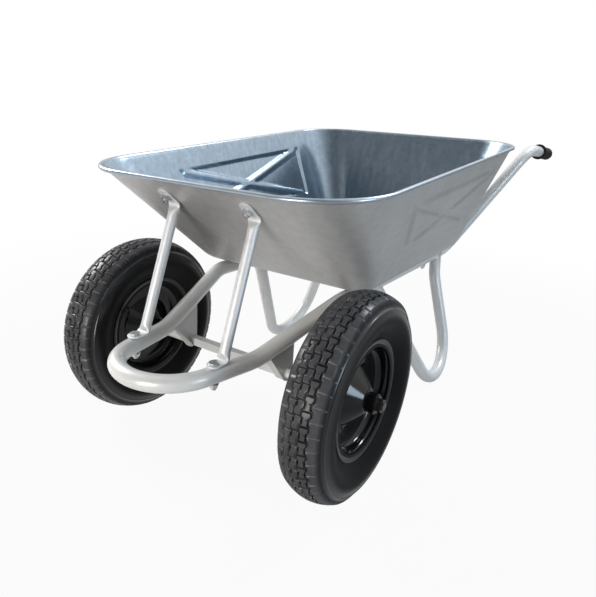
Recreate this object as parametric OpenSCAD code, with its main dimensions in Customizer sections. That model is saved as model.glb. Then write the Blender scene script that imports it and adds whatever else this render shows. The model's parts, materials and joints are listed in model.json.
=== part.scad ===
// Two wheel wheelbarrow: a pressed sheet tray on one bent tube frame, with two braces at the nose,
// two U shaped legs and a pair of pneumatic wheels on a through axle.
// The nose points to -Y, the handles to +Y and +X is the left hand of the person who pushes it.
// Lengths along the barrow are given from the axle, heights from the ground.

/* [Wheels] */
// Outer diameter of a tyre
tyre_d = 400; // [380:1:420]
// Width of a tyre at its widest
tyre_w = 95; // [88:1:100]
// Width of the tread between its two shoulders
tread_w = 70; // [60:1:76]
// Height of the crown of the tread above its shoulders
tread_crown = 9; // [5:0.5:12]
// Thickness of the rubber under the tread
tread_t = 11; // [8:0.5:14]
// Thickness of a side wall of a tyre
side_t = 5; // [4:0.5:7]
// Depth of the grooves that run round the tread
groove_depth = 5; // [2:0.5:6]
// Width of the grooves that run round the tread
groove_w = 5; // [3:0.5:7]
// Distance between the middle planes of the two wheels
track = 549; // [540:1:570]
// Diameter of the rolled edge of a rim
rim_edge_d = 233; // [228:1:238]
// Diameter of the seat of the tyre bead
bead_d = 203.2; // [200:0.2:206]
// Width of a rim over its two edges
rim_w = 63.8; // [60:0.2:68]
// Thickness of the pressed rim sheet
rim_t = 2; // [1.5:0.1:2.5]
// Diameter of the flat ring where the two rim halves meet
rim_ring_d = 124; // [110:1:140]
// Distance of the small end of the rim cone from the middle plane
cone_reach = 32; // [24:1:36]
// Radius of the round between the flat ring and the barrel of a rim
dish_r = 24; // [12:1:25]
// Rubber of the inner tube
tube_rubber = 2.5; // [2:0.1:3.5]
// Diameter of the valve stem
valve_d = 8; // [7:0.5:9]
// Length of the valve stem inside the rim
valve_len = 17; // [12:1:22]
// Length of the valve cap
valve_cap_len = 9; // [7:1:12]
// Place of the valve round the wheel, from the rear over the top
valve_angle = 228; // [200:1:250]

/* [Axle] */
// Diameter of the axle
axle_d = 16; // [14:0.5:18]
// Width of the square middle of the axle between the brackets
axle_square = 17; // [16.5:0.5:22]
// Outer diameter of a hub
hub_d = 38; // [34:1:44]
// Length of a hub
hub_len = 94; // [88:1:100]
// Wall of a bush between its bore and the hub
bush_t = 5; // [4:0.5:6]
// Length of a bush inside its hub
bush_len = 22; // [16:1:30]
// Thickness of the collar of a bush
bush_collar = 2.5; // [2:0.5:4]
// Outer diameter of a washer on the axle
axle_washer_d = 34; // [32:1:37]
// Thickness of a washer on the axle
axle_washer_t = 2.5; // [2:0.5:3]
// Width of an axle nut over its flats
axle_nut_w = 24; // [22:1:27]
// Height of an axle nut
axle_nut_h = 10; // [8:0.5:13]
// Length of thread beyond an axle nut
axle_tip = 3; // [2:0.5:6]
// Outer diameter of a spacer between bracket and wheel
spacer_d = 22; // [20:1:26]

/* [Frame tube] */
// Diameter of the frame tube
tube_d = 32; // [28:0.5:34]
// Wall of the frame tube
tube_wall = 1.6; // [1.2:0.1:3]
// Radius of the round bow of the nose
nose_r = 96; // [85:1:105]
// Height of the nose
nose_z = 256; // [240:1:270]
// Angle at which the two sides of the nose spread
nose_spread = 10.8; // [8:0.2:14]
// Place of the bend behind the nose
nose_bend_y = -86; // [-100:1:-75]
// Half of the distance between the tubes at the bend behind the nose
nose_bend_x = 116; // [108:1:122]
// Radius of the bend behind the nose
nose_bend_r = 128; // [90:1:150]
// Place of the bend under the front edge of the floor
rail_front_y = 132; // [120:1:145]
// Height of the rails under the floor
rail_z = 327; // [320:1:335]
// Radius of the bend under the front edge of the floor
rail_bend_r = 110; // [80:1:140]
// Place of the bend behind the floor
rail_rear_y = 801; // [795:1:815]
// Radius of the bend behind the floor
rear_bend_r = 60; // [50:1:75]
// Place of the bend of a handle
handle_bend_y = 950; // [935:1:975]
// Half of the distance between the handles at their bends
handle_bend_x = 329; // [318:1:340]
// Height of a handle where its two straight runs would meet
handle_bend_z = 634; // [620:1:650]
// Radius of the bend of a handle
handle_bend_r = 78; // [60:1:90]
// Place of the end of a handle
handle_end_y = 1180; // [1150:1:1210]
// Half of the distance between the ends of the handles
handle_end_x = 342; // [330:1:352]
// Height of the end of a handle
handle_end_z = 618; // [610:1:640]

/* [Legs] */
// Place of the top of the front arm of a leg
leg_front_y = 291; // [270:1:320]
// Place of the rear arm of a leg
leg_rear_y = 686; // [670:1:700]
// Radius of the bend at the foot of a leg
leg_bend_r = 112; // [90:1:130]
// Angle at which a leg leans outwards
leg_lean = 16.8; // [12:0.2:20]
// Distance below the rail of the bend near the top of the rear arm
leg_kick_drop = 60; // [50:1:80]
// Distance by which the top of the rear arm is set back
leg_kick_back = 36; // [25:1:45]
// Radius of the bend near the top of the rear arm
leg_kick_r = 60; // [40:1:80]

/* [Axle brackets] */
// Distance of a bracket plate inwards from the middle of the tube above the axle
bracket_in = 6.3; // [0:0.1:12]
// Thickness of a bracket plate
bracket_t = 4; // [3:0.5:6]
// Place of the front corner of a bracket under the rail
bracket_front_y = -70; // [-80:1:-60]
// Radius of the round lower end of a bracket
bracket_r = 17; // [15:0.5:20]
// Width of the lip along the front edge of a bracket
bracket_lip = 14; // [8:1:20]

/* [Braces] */
// Diameter of a brace tube
brace_d = 20; // [16:0.5:22]
// Wall of a brace tube
brace_wall = 1.5; // [1:0.1:2]
// Width of the flat ends of a brace
brace_tab_w = 28; // [24:1:32]
// Thickness of the flat ends of a brace
brace_tab_t = 4; // [3:0.5:5]
// Place of the lower bolt of a brace
brace_low_y = -183; // [-190:1:-176]
// Place where a brace tube rises from its lower tab
brace_foot_y = -164; // [-168:1:-160]
// Place of the upper bolt of a brace
brace_high_y = -97; // [-105:1:-90]
// Place where a brace tube meets its upper tab
brace_head_y = -76; // [-82:1:-70]
// Half of the distance between the upper ends of the braces
brace_high_x = 95; // [88:1:102]

/* [Tray] */
// Thickness of the tray sheet
sheet_t = 1.2; // [0.8:0.1:2]
// Place of the front edge of the floor
floor_front_y = 142; // [130:1:150]
// Place of the rear edge of the floor
floor_rear_y = 765; // [740:1:775]
// Width of the floor at its front edge
floor_w = 436; // [420:1:450]
// Radius of the front corners of the floor
floor_front_r = 40; // [30:1:60]
// Radius of the rear corners of the floor
floor_rear_r = 40; // [30:1:60]
// Length of the bend between floor and walls, along each
floor_bend = 35; // [24:1:42]
// Place of the front rim
rim_front_y = -141; // [-160:1:-130]
// Height of the front rim
rim_front_z = 564; // [550:1:580]
// Width of the front rim
rim_front_w = 622; // [600:1:640]
// Radius of the front corners of the rim
rim_front_r = 140; // [110:1:160]
// Place of the rear rim
rim_rear_y = 832; // [825:1:845]
// Height of the rear rim
rim_rear_z = 649; // [630:1:660]
// Width of the rear rim
rim_rear_w = 656; // [640:1:670]
// Radius of the rear corners of the rim
rim_rear_r = 124; // [110:1:160]
// Diameter of the wire in the rolled rim
rim_wire_d = 6; // [5:0.5:8]
// Height of the pressed panel in each side wall above the sheet
panel_rise = 4; // [2:0.5:5]
// Width of the two crossed ribs in a side panel
panel_rib_w = 20; // [14:1:26]
// Distance of the front end of a side panel from the front corner of the rim
panel_front = 270; // [255:1:290]
// Distance of the rear end of a side panel from the front corner of the rim
panel_rear = 806; // [780:1:815]
// Distance of a side panel below the rim
panel_drop = 48; // [35:1:60]
// Height of a side panel at its front end
panel_front_h = 112; // [90:1:125]
// Height of a side panel at its rear end
panel_rear_h = 148; // [130:1:165]
// Amount by which the front end of a side panel slopes back
panel_slant = 68; // [50:1:85]

/* [Fasteners] */
// Diameter of the bolts of tray and braces
bolt_d = 8; // [6:0.5:8]
// Diameter of a bolt head
bolt_head_d = 18; // [16:0.5:20]
// Height of a bolt head
bolt_head_h = 4; // [3:0.5:6]
// Width of a nut over its flats
nut_w = 13; // [11:0.5:14]
// Height of a nut
nut_h = 6.5; // [5:0.5:8]
// Outer diameter of a washer
washer_d = 18; // [16:0.5:22]
// Thickness of a washer
washer_t = 1.6; // [1:0.1:2]
// Length of bolt beyond its nut
bolt_tip = 4; // [2:0.5:8]
// Place of the front pair of tray bolts
tray_bolt_front_y = 235; // [215:1:255]
// Place of the rear pair of tray bolts
tray_bolt_rear_y = 620; // [600:1:640]

/* [Grips] */
// Outer diameter of a grip
grip_d = 38; // [36:0.5:42]
// Length of a grip without its closed end
grip_len = 115; // [95:1:130]
// Diameter of the collar of a grip
grip_collar_d = 46; // [43:0.5:50]
// Length of the collar of a grip
grip_collar = 6; // [4:0.5:9]
// Thickness of the closed end of a grip
grip_end = 4; // [3:0.5:6]

/* [Hidden] */
$fn = 64;

// Cut that reaches past a face
past = 1;
// Radial play of a part that turns on the axle
run_play = 0.05;
// Gap between faces that slide past each other
face_play = 0.3;
// Gap between pieces that are bolted or welded together
seat = 0.02;
// Amount by which a tube is drawn thinner in a bend
bend_thin = 0.06;
// Height at which the ribs of a panel are left above the wall
panel_rib_left = 0.6;
// Length of straight tube that reaches into a bend
bend_lap = 1;
// Radial play of a bolt in its hole
hole_play = 0.3;
// Gap between the head of a tray bolt and the bend at the edge of the floor
bolt_clear = 1.2;
// Gap between the wire and the sheet rolled round it
wire_play = 0.1;
// Height of a tyre's side wall above the edge of the rim, where it turns into the bead
edge_clear = 1;
// Thickness of the bead of a tyre beyond that of its side wall
bead_more = 4;
// Distance by which a valve stem stands off the tube that it opens into
valve_clear = 0.4;

tube_r = tube_d/2;
tyre_r = tyre_d/2;
wheel_x = track/2;
painted = [0.76, 0.76, 0.75];
zinc = [0.86, 0.87, 0.88];
galvanised = [0.68, 0.70, 0.72];
black_paint = [0.07, 0.07, 0.08];
rubber = [0.09, 0.09, 0.10];

function unit(v) = v/norm(v);
function mirrored(p) = [-p.x, p.y, p.z];
function across(v) = unit(cross(v, abs(v.z) < 0.9*norm(v) ? [0, 0, 1] : [0, 1, 0]));
function frame_at(o, x, z) =
    let (y = cross(z, x))
    [[x.x, y.x, z.x, o.x], [x.y, y.y, z.y, o.y], [x.z, y.z, z.z, o.z], [0, 0, 0, 1]];

// Bend of a tube at corner b between a and c: its angle, what it takes of each side, and its centre
function turn(a, b, c) = acos(max(-1, min(1, unit(b - a)*unit(c - b))));
function bend_cut(a, b, c, r) = r*tan(turn(a, b, c)/2);
function bend_centre(a, b, c, r) = b + unit(unit(a - b) + unit(c - b))*r/cos(turn(a, b, c)/2);

// Straight round bar from a to b
module bar(a, b, d) {
    way = unit(b - a);
    multmatrix(frame_at(a, across(way), way)) cylinder(d = d, h = norm(b - a));
}

// Bar with cut ends, both lengthened by more
module long_bar(a, b, d, more) {
    bar(a - unit(b - a)*more, b + unit(b - a)*more, d);
}

// Straight tube from a to b
module tube_run(a, b, d, wall) {
    difference() {
        bar(a, b, d);
        long_bar(a, b, d - 2*wall, past);
    }
}

// Round bar bent round the corner b, as part of a ring, drawn a little thinner than the straight bar
module bar_bend(a, b, c, r, d) {
    o = bend_centre(a, b, c, r);
    first = b + unit(a - b)*bend_cut(a, b, c, r);
    multmatrix(frame_at(o, unit(first - o), unit(cross(b - a, c - b))))
        rotate_extrude(angle = turn(a, b, c)) translate([r, 0]) circle(d = d - 2*bend_thin);
}

// Round bar along corner points p, bent at each inner corner with the radius in r
module bent_bar(p, r, d) {
    last = len(p) - 1;
    for (i = [0:last - 1]) {
        way = unit(p[i + 1] - p[i]);
        from = i == 0 ? p[0] : p[i] + way*(bend_cut(p[i - 1], p[i], p[i + 1], r[i - 1]) - bend_lap);
        to = i == last - 1
            ? p[last]
            : p[i + 1] - way*(bend_cut(p[i], p[i + 1], p[i + 2], r[i]) - bend_lap);
        bar(from, to, d);
    }
    for (i = [1:last - 1]) bar_bend(p[i - 1], p[i], p[i + 1], r[i - 1], d);
}

// The same points with both ends lengthened
function longer(p, more) =
    let (last = len(p) - 1)
    [for (i = [0:last])
        i == 0 ? p[0] + unit(p[0] - p[1])*more
        : i == last ? p[last] + unit(p[last] - p[last - 1])*more
        : p[i]];

// Bent tube with open ends
module bent_tube(p, r, d, wall) {
    difference() {
        bent_bar(p, r, d);
        bent_bar(longer(p, past), r, d - 2*wall);
    }
}

// Flat side walls run from the rim to the floor and set its half width, and the rails lie so far in that
// the heads of the tray bolts keep clear of the bend at the edge of the floor
floor_z = rail_z + tube_r + seat;
side_normal = cross(
    [(rim_rear_w - rim_front_w)/2, rim_rear_y - rim_front_y, rim_rear_z - rim_front_z],
    [(floor_w - rim_front_w)/2, floor_front_y - rim_front_y, floor_z - rim_front_z]
);
function floor_x(y) = floor_w/2 - side_normal.y/side_normal.x*(y - floor_front_y);
floor_rear_x = floor_x(floor_rear_y);
bolt_floor_x = min(floor_x(tray_bolt_front_y), floor_x(tray_bolt_rear_y));
rail_x = bolt_floor_x - floor_bend - bolt_head_d/2 - bolt_clear;

// Corner points of the left half of the frame tube
nose_bend = [nose_bend_x, nose_bend_y, nose_z];
nose_apex = [0, nose_bend_y - nose_bend_x/tan(nose_spread), nose_z];
rail_front = [rail_x, rail_front_y, rail_z];
rail_rear = [rail_x, rail_rear_y, rail_z];
handle_bend = [handle_bend_x, handle_bend_y, handle_bend_z];
handle_end = [handle_end_x, handle_end_y, handle_end_z];
handle_way = unit(handle_end - handle_bend);
frame_points = [
    mirrored(handle_end), mirrored(handle_bend), mirrored(rail_rear), mirrored(rail_front),
    mirrored(nose_bend), nose_apex, nose_bend, rail_front, rail_rear, handle_bend, handle_end
];
frame_radii = [
    handle_bend_r, rear_bend_r, rail_bend_r, nose_bend_r, nose_r,
    nose_bend_r, rail_bend_r, rear_bend_r, handle_bend_r
];

// Places along the barrow: the axle lies where the whole part is centred on the origin
nose_front = nose_apex.y + nose_r/sin(nose_spread) - nose_r - tube_r;
grip_back = handle_end_y + grip_end*handle_way.y + grip_d/2*sqrt(1 - pow(handle_way.y, 2));
axle_y = -(nose_front + grip_back)/2;
axle_z = tyre_r;

module from_axle() {
    translate([0, axle_y, 0]) children();
}
module both_sides() {
    children();
    mirror([1, 0, 0]) children();
}

// Line of the left rail between nose bend and floor, and of the nose side
rail_way = unit(rail_front - nose_bend);
function nose_side_x(y) = nose_bend_x + (y - nose_bend_y)*tan(nose_spread);
brace_low = [nose_side_x(brace_low_y), brace_low_y, nose_z + tube_r];
function rail_side(y) = nose_bend_x + (y - nose_bend_y)*rail_way.x/rail_way.y;
bracket_x = rail_side(0) - bracket_in;

// Tray: floor and rim are rounded outlines, and the walls are the straight lines between them
rim_slope = (rim_rear_z - rim_front_z)/(rim_rear_y - rim_front_y);
corner_steps = 8;

// Corner of a plan outline at b, as points of an arc of radius r
function corner_arc(a, b, c, r) =
    let (
        o = bend_centre(a, b, c, r),
        first = b + unit(a - b)*bend_cut(a, b, c, r) - o,
        sweep = turn(a, b, c),
        side = unit(b - a)*r
    )
    [for (i = [0:corner_steps]) let (t = sweep*i/corner_steps) o + first*cos(t) + side*sin(t)];
function plan(front, rear, front_x, rear_x, front_r, rear_r) =
    let (p = [[front_x, front, 0], [rear_x, rear, 0], [-rear_x, rear, 0], [-front_x, front, 0]])
    concat(
        corner_arc(p[3], p[0], p[1], front_r),
        corner_arc(p[0], p[1], p[2], rear_r),
        corner_arc(p[1], p[2], p[3], rear_r),
        corner_arc(p[2], p[3], p[0], front_r)
    );
floor_plan = plan(floor_front_y, floor_rear_y, floor_w/2, floor_rear_x, floor_front_r, floor_rear_r);
rim_plan = plan(rim_front_y, rim_rear_y, rim_front_w/2, rim_rear_w/2, rim_front_r, rim_rear_r);
ring_count = len(rim_plan);
floor_line = [for (p = floor_plan) [p.x, p.y, floor_z]];
rim_line = [for (p = rim_plan) [p.x, p.y, rim_front_z + (p.y - rim_front_y)*rim_slope]];

// Outward direction of the rim outline in plan at point i
function out_way(i) =
    let (ahead = rim_plan[(i + 1) % ring_count] - rim_plan[(i + ring_count - 1) % ring_count])
    unit([ahead.y, -ahead.x, 0]);
// Point s (0 to 1) of the rounded bend between wall and floor, for the sheet face with the corner f
function bend_point(f, top, in_way, s) =
    let (wall = f + unit(top - f)*floor_bend, base = f + in_way*floor_bend)
    pow(1 - s, 2)*wall + 2*s*(1 - s)*f + s*s*base;

curl_steps = 9;
curl_end = -120;
curl_in = rim_wire_d/2/cos((180 - curl_end)/curl_steps/2) + wire_play;
curl_out = curl_in + sheet_t;
bend_steps = 5;
// Closed cross section of the tray at point i: floor edge and wall inside, rolled rim, wall and floor edge
// outside
function tray_section(i) =
    let (
        n = out_way(i),
        f = floor_line[i],
        m = rim_line[i],
        rise = m.z - f.z,
        slant = norm(m - f)/rise,
        fi = f + (m - f)*sheet_t/rise - n*sheet_t*slant,
        mi = m - n*sheet_t*slant,
        wire = m + n*curl_in
    )
    concat(
        [for (k = [0:bend_steps]) bend_point(fi, mi, -n, 1 - k/bend_steps)],
        [for (k = [0:curl_steps])
            let (a = 180 + (curl_end - 180)*k/curl_steps) wire + (n*cos(a) + [0, 0, sin(a)])*curl_out],
        [for (k = [0:curl_steps])
            let (a = curl_end + (180 - curl_end)*k/curl_steps) wire + (n*cos(a) + [0, 0, sin(a)])*curl_in],
        [for (k = [0:bend_steps]) bend_point(f, m, -n, k/bend_steps)]
    );

// Closed ring of cross sections, with flat caps across its first and last rows
module ring_shell(sections) {
    rows = len(sections[0]);
    count = len(sections);
    points = [for (s = sections) each s];
    bands = [for (i = [0:count - 1], k = [0:rows - 2])
        let (j = (i + 1) % count, a = i*rows + k, b = j*rows + k)
        each [[a, b, b + 1], [a, b + 1, a + 1]]];
    inside = [for (i = [count - 1:-1:0]) i*rows];
    outside = [for (i = [0:count - 1]) i*rows + rows - 1];
    polyhedron(points, concat(bands, [inside, outside]));
}

// Round wire along the rim, swept with a many sided section
module rim_ring(d, sides) {
    points = [for (i = [0:ring_count - 1], k = [0:sides - 1])
        let (a = 360*k/sides)
        rim_line[i] + out_way(i)*curl_in + (out_way(i)*cos(a) + [0, 0, sin(a)])*d/2];
    bands = [for (i = [0:ring_count - 1], k = [0:sides - 1])
        let (
            j = (i + 1) % ring_count,
            m = (k + 1) % sides,
            a = i*sides + k, b = j*sides + k, c = j*sides + m, e = i*sides + m
        )
        each [[a, c, b], [a, e, c]]];
    polyhedron(points, bands);
}

// Front wall of the tray: direction up the wall, outward normal and the upper bolt of a brace on its face
wall_up = unit([0, rim_front_y - floor_front_y, rim_front_z - floor_z]);
wall_out = [0, -wall_up.z, wall_up.y];
function wall_point(x, y) =
    [x, y, floor_z + (y - floor_front_y)*wall_up.z/wall_up.y];
brace_high = wall_point(brace_high_x, brace_high_y);
brace_head = wall_point(brace_high_x, brace_head_y);

// Left side wall of the tray: frame with X along the wall to the rear, Y up the wall and Z outwards
side_out = unit(side_normal.x > 0 ? side_normal : -side_normal);
side_rear = unit([(rim_rear_w - rim_front_w)/2, rim_rear_y - rim_front_y, rim_rear_z - rim_front_z]);
module on_side_wall() {
    o = [rim_front_w/2, rim_front_y, rim_front_z];
    multmatrix(frame_at(o, side_rear, side_out)) children();
}
// Corners of the pressed side panel below the rim, as [along, up] from the front corner of the rim
panel_corners = [
    [panel_front, -panel_drop], [panel_rear, -panel_drop],
    [panel_rear - panel_slant/4, -panel_drop - panel_rear_h],
    [panel_front + panel_slant, -panel_drop - panel_front_h]
];
// Corners drawn in on all sides
function drawn_in(c, t) = [c[0] + [2*t, -t], c[1] + [-t, -t], c[2] + [-t, t], c[3] + [t, t]];
// Bar of a rib between two corners of the panel, from the level low upwards, larger by more all round
module panel_rib(a, b, more, low) {
    way = unit(b - a);
    clear = panel_rib_w - more;
    w = panel_rib_w + 2*more;
    translate([a.x, a.y, low])
        rotate([0, 0, atan2(way.y, way.x)])
            translate([clear, -w/2, 0]) cube([norm(b - a) - 2*clear, w, 4*panel_rise]);
}
module panel_ribs(more, low) {
    panel_rib(panel_corners[3], panel_corners[1], more, low);
    panel_rib(panel_corners[2], panel_corners[0], more, low);
}
// Panel pressed outwards in a side wall, with two crossed ribs left nearly at the level of the wall
module side_panel() {
    on_side_wall()
        difference() {
            translate([0, 0, -sheet_t/2]) linear_extrude(panel_rise + sheet_t/2) polygon(panel_corners);
            panel_ribs(0, panel_rib_left);
        }
}
// Space behind the panel on the inside of the wall
module panel_hollow() {
    on_side_wall()
        difference() {
            translate([0, 0, -2*sheet_t])
                linear_extrude(panel_rise + sheet_t) polygon(drawn_in(panel_corners, sheet_t));
            panel_ribs(sheet_t, -3*sheet_t);
        }
}

// Places of the four tray bolts and the two bolts at each end of the braces
module at_tray_bolts() {
    for (side = [-1, 1], y = [tray_bolt_front_y, tray_bolt_rear_y])
        translate([side*rail_x, y, floor_z + sheet_t + seat]) children();
}
module at_lower_bolts() {
    for (side = [-1, 1])
        translate([side*brace_low.x, brace_low.y, brace_low.z + brace_tab_t + 2*seat]) children();
}
module at_upper_bolts() {
    inner = brace_high - wall_out*(sheet_t + seat);
    for (side = [-1, 1])
        multmatrix(frame_at([side*inner.x, inner.y, inner.z], [1, 0, 0], -wall_out)) children();
}
tray_grip = tube_d + sheet_t + 2*seat;
low_grip = tube_d + brace_tab_t + 2*seat;
high_grip = sheet_t + brace_tab_t + 2*seat;
bolt_hole_d = bolt_d + 2*hole_play;

// Bolt with a round head on z = 0 and its shank downwards through grip, washer and nut
module bolt(grip) {
    cylinder(d = bolt_head_d, h = bolt_head_h);
    long = grip + washer_t + nut_h + 3*seat + bolt_tip;
    translate([0, 0, -long]) cylinder(d = bolt_d, h = long + bolt_head_h/2);
}
module bolt_washer(grip) {
    translate([0, 0, -grip - seat - washer_t]) washer(bolt_d + 2*seat, washer_d, washer_t);
}
module bolt_nut(grip) {
    translate([0, 0, -grip - 2*seat - washer_t - nut_h]) nut(bolt_d + 2*seat, nut_w, nut_h);
}
module bolt_hole(grip) {
    translate([0, 0, -grip - past]) cylinder(d = bolt_hole_d, h = grip + 2*past);
}
module washer(bore, outer, t) {
    difference() {
        cylinder(d = outer, h = t);
        translate([0, 0, -past]) cylinder(d = bore, h = t + 2*past);
    }
}
module nut(bore, flats, h) {
    difference() {
        cylinder(d = flats/cos(30), h = h, $fn = 6);
        translate([0, 0, -past]) cylinder(d = bore, h = h + 2*past);
    }
}

// Frame
module main_tube() {
    color(painted) from_axle()
        difference() {
            bent_tube(frame_points, frame_radii, tube_d, tube_wall);
            at_tray_bolts() bolt_hole(tray_grip);
            at_lower_bolts() bolt_hole(low_grip);
        }
}

// A leg lies in a plane through the rail that leans outwards: [along, down the plane]
leg_low = (rail_z - tube_r)/cos(leg_lean);
leg_centre = [leg_rear_y - leg_bend_r, leg_low - leg_bend_r];
leg_reach = leg_centre - [leg_front_y, 0];
leg_arm_angle = atan2(leg_reach.y, leg_reach.x) + asin(leg_bend_r/norm(leg_reach));
leg_corner = [leg_rear_y, (leg_rear_y - leg_front_y)*tan(leg_arm_angle)];
function leg_point(p) = [rail_x + p.y*sin(leg_lean), p.x, rail_z - p.y*cos(leg_lean)];
leg_points = [
    leg_point([leg_front_y, 0]), leg_point(leg_corner),
    leg_point([leg_rear_y, leg_kick_drop]), leg_point([leg_rear_y + leg_kick_back, 0])
];
module leg() {
    difference() {
        bent_tube(leg_points, [leg_bend_r, leg_kick_r], tube_d, tube_wall);
        bar(rail_front, rail_rear, tube_d + 2*seat);
        translate([rail_x - 2*tube_d, leg_front_y - 2*tube_d, rail_z])
            cube([4*tube_d, leg_rear_y + 4*tube_d, 2*tube_d]);
    }
}
module left_leg() {
    color(painted) from_axle() leg();
}
module right_leg() {
    color(painted) from_axle() mirror([1, 0, 0]) leg();
}

// Square bar along the axle from the middle plane to both sides
module square_bar(reach, side) {
    translate([-reach, -side/2, axle_z - side/2]) cube([2*reach, side, side]);
}

// Bracket outline [along, up]: upright rear edge, round end about the axle and a front edge that slopes up
function rail_height(y) = nose_z + (y - nose_bend_y)*rail_way.z/rail_way.y;
bracket_front = [bracket_front_y, rail_height(bracket_front_y)];
bracket_gap = [0, axle_z] - bracket_front;
bracket_slope = atan2(bracket_gap.y, bracket_gap.x) - asin(bracket_r/norm(bracket_gap));
bracket_touch = [0, axle_z] + bracket_r*[sin(bracket_slope), -cos(bracket_slope)];
module bracket_profile() {
    polygon([
        bracket_front, bracket_touch, [0, axle_z], [bracket_r, axle_z],
        [bracket_r, rail_height(bracket_r)]
    ]);
    translate([0, axle_z]) circle(r = bracket_r);
}
module axle_bracket() {
    difference() {
        union() {
            translate([bracket_x - bracket_t/2, 0, 0])
                rotate([90, 0, 90]) linear_extrude(bracket_t) bracket_profile();
            edge = norm(bracket_touch - bracket_front);
            translate([bracket_x - bracket_t/2 - bracket_lip, bracket_front.x, bracket_front.y])
                rotate([bracket_slope, 0, 0]) cube([bracket_lip + bracket_t/2, edge, bracket_t]);
        }
        long_bar(nose_bend, rail_front, tube_d + 2*seat, tube_d);
        translate([0, 0, axle_z]) rotate([0, 90, 0]) cylinder(d = axle_d + 2*seat, h = 2*bracket_x);
        square_bar(bracket_x - bracket_t/2, axle_square + 2*seat);
    }
}
module left_axle_bracket() {
    color(painted) from_axle() axle_bracket();
}
module right_axle_bracket() {
    color(painted) from_axle() mirror([1, 0, 0]) axle_bracket();
}

// Axle and what holds the wheels on it, outwards from the bracket
module on_axle(x) {
    translate([x, 0, axle_z]) rotate([0, 90, 0]) children();
}
hub_end = hub_len/2 + bush_collar;
inner_washer_x = wheel_x - hub_end - face_play - axle_washer_t;
outer_washer_x = wheel_x + hub_end + face_play;
axle_nut_x = outer_washer_x + axle_washer_t + seat;
axle_half = axle_nut_x + axle_nut_h + axle_tip;
spacer_x = bracket_x + bracket_t/2 + seat;
module axle() {
    color(painted) from_axle() {
        on_axle(-axle_half) cylinder(d = axle_d, h = 2*axle_half);
        square_bar(bracket_x - bracket_t/2 - seat, axle_square);
    }
}
module axle_spacer() {
    on_axle(spacer_x) washer(axle_d + 2*run_play, spacer_d, inner_washer_x - spacer_x - seat);
}
module left_axle_spacer() {
    color(painted) from_axle() axle_spacer();
}
module right_axle_spacer() {
    color(painted) from_axle() mirror([1, 0, 0]) axle_spacer();
}
module axle_washers() {
    color(black_paint) from_axle()
        both_sides()
            for (x = [inner_washer_x, outer_washer_x])
                on_axle(x) washer(axle_d + 2*run_play, axle_washer_d, axle_washer_t);
}
module axle_nuts() {
    color(black_paint) from_axle()
        both_sides() on_axle(axle_nut_x) nut(axle_d + 2*seat, axle_nut_w, axle_nut_h);
}

// Brace: a tube between two flat tabs, the lower on the nose and the upper on the front wall
module tab(length, bolt_at) {
    difference() {
        union() {
            translate([-brace_tab_w/2, 0, 0]) cube([brace_tab_w, length - brace_tab_w/2, brace_tab_t]);
            translate([0, length - brace_tab_w/2, 0]) cylinder(d = brace_tab_w, h = brace_tab_t);
        }
        translate([0, bolt_at, -past]) cylinder(d = bolt_hole_d, h = brace_tab_t + 2*past);
    }
}
low_tab_from = brace_foot_y + brace_d/2;
low_tab_bolt = low_tab_from - brace_low_y;
high_tab_from = brace_head - wall_up*brace_d*0.8;
high_tab_bolt = norm(brace_high - high_tab_from);
brace_foot = [brace_low.x, brace_foot_y, brace_low.z + seat + brace_tab_t/2];
brace_top = brace_head + wall_out*(seat + brace_tab_t/2);
brace_way = unit(brace_top - brace_foot);
module brace() {
    difference() {
        tube_run(brace_foot - brace_way*brace_d, brace_top + brace_way*brace_d, brace_d, brace_wall);
        translate([brace_foot.x - brace_d, brace_foot.y - 3*brace_d, brace_foot.z - 6*brace_d])
            cube([2*brace_d, 6*brace_d, 6*brace_d]);
        multmatrix(frame_at(brace_top, [1, 0, 0], -wall_out))
            translate([-brace_d, -3*brace_d, 0]) cube([2*brace_d, 6*brace_d, 6*brace_d]);
    }
    multmatrix(frame_at([brace_low.x, low_tab_from, brace_low.z + seat], [-1, 0, 0], [0, 0, 1]))
        tab(low_tab_bolt + brace_tab_w/2, low_tab_bolt);
    multmatrix(frame_at(high_tab_from + wall_out*seat, cross(wall_up, wall_out), wall_out))
        tab(high_tab_bolt + brace_tab_w*0.8, high_tab_bolt);
}
module left_brace() {
    color(zinc) from_axle() brace();
}
module right_brace() {
    color(zinc) from_axle() mirror([1, 0, 0]) brace();
}
module brace_lower_bolts() {
    color(zinc) from_axle() at_lower_bolts() bolt(low_grip);
}
module brace_upper_bolts() {
    color(zinc) from_axle() at_upper_bolts() bolt(high_grip);
}
module brace_washers() {
    color(zinc) from_axle() {
        at_lower_bolts() bolt_washer(low_grip);
        at_upper_bolts() bolt_washer(high_grip);
    }
}
module brace_nuts() {
    color(zinc) from_axle() {
        at_lower_bolts() bolt_nut(low_grip);
        at_upper_bolts() bolt_nut(high_grip);
    }
}

// Tray
module tray() {
    color(galvanised) from_axle()
        difference() {
            union() {
                ring_shell([for (i = [0:ring_count - 1]) tray_section(i)]);
                both_sides() side_panel();
            }
            both_sides() panel_hollow();
            at_tray_bolts() bolt_hole(tray_grip);
            at_upper_bolts() bolt_hole(high_grip);
        }
}
module rim_wire() {
    color(zinc) from_axle() rim_ring(rim_wire_d, 8);
}
module tray_bolts() {
    color(zinc) from_axle() at_tray_bolts() bolt(tray_grip);
}
module tray_washers() {
    color(zinc) from_axle() at_tray_bolts() bolt_washer(tray_grip);
}
module tray_nuts() {
    color(zinc) from_axle() at_tray_bolts() bolt_nut(tray_grip);
}

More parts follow.
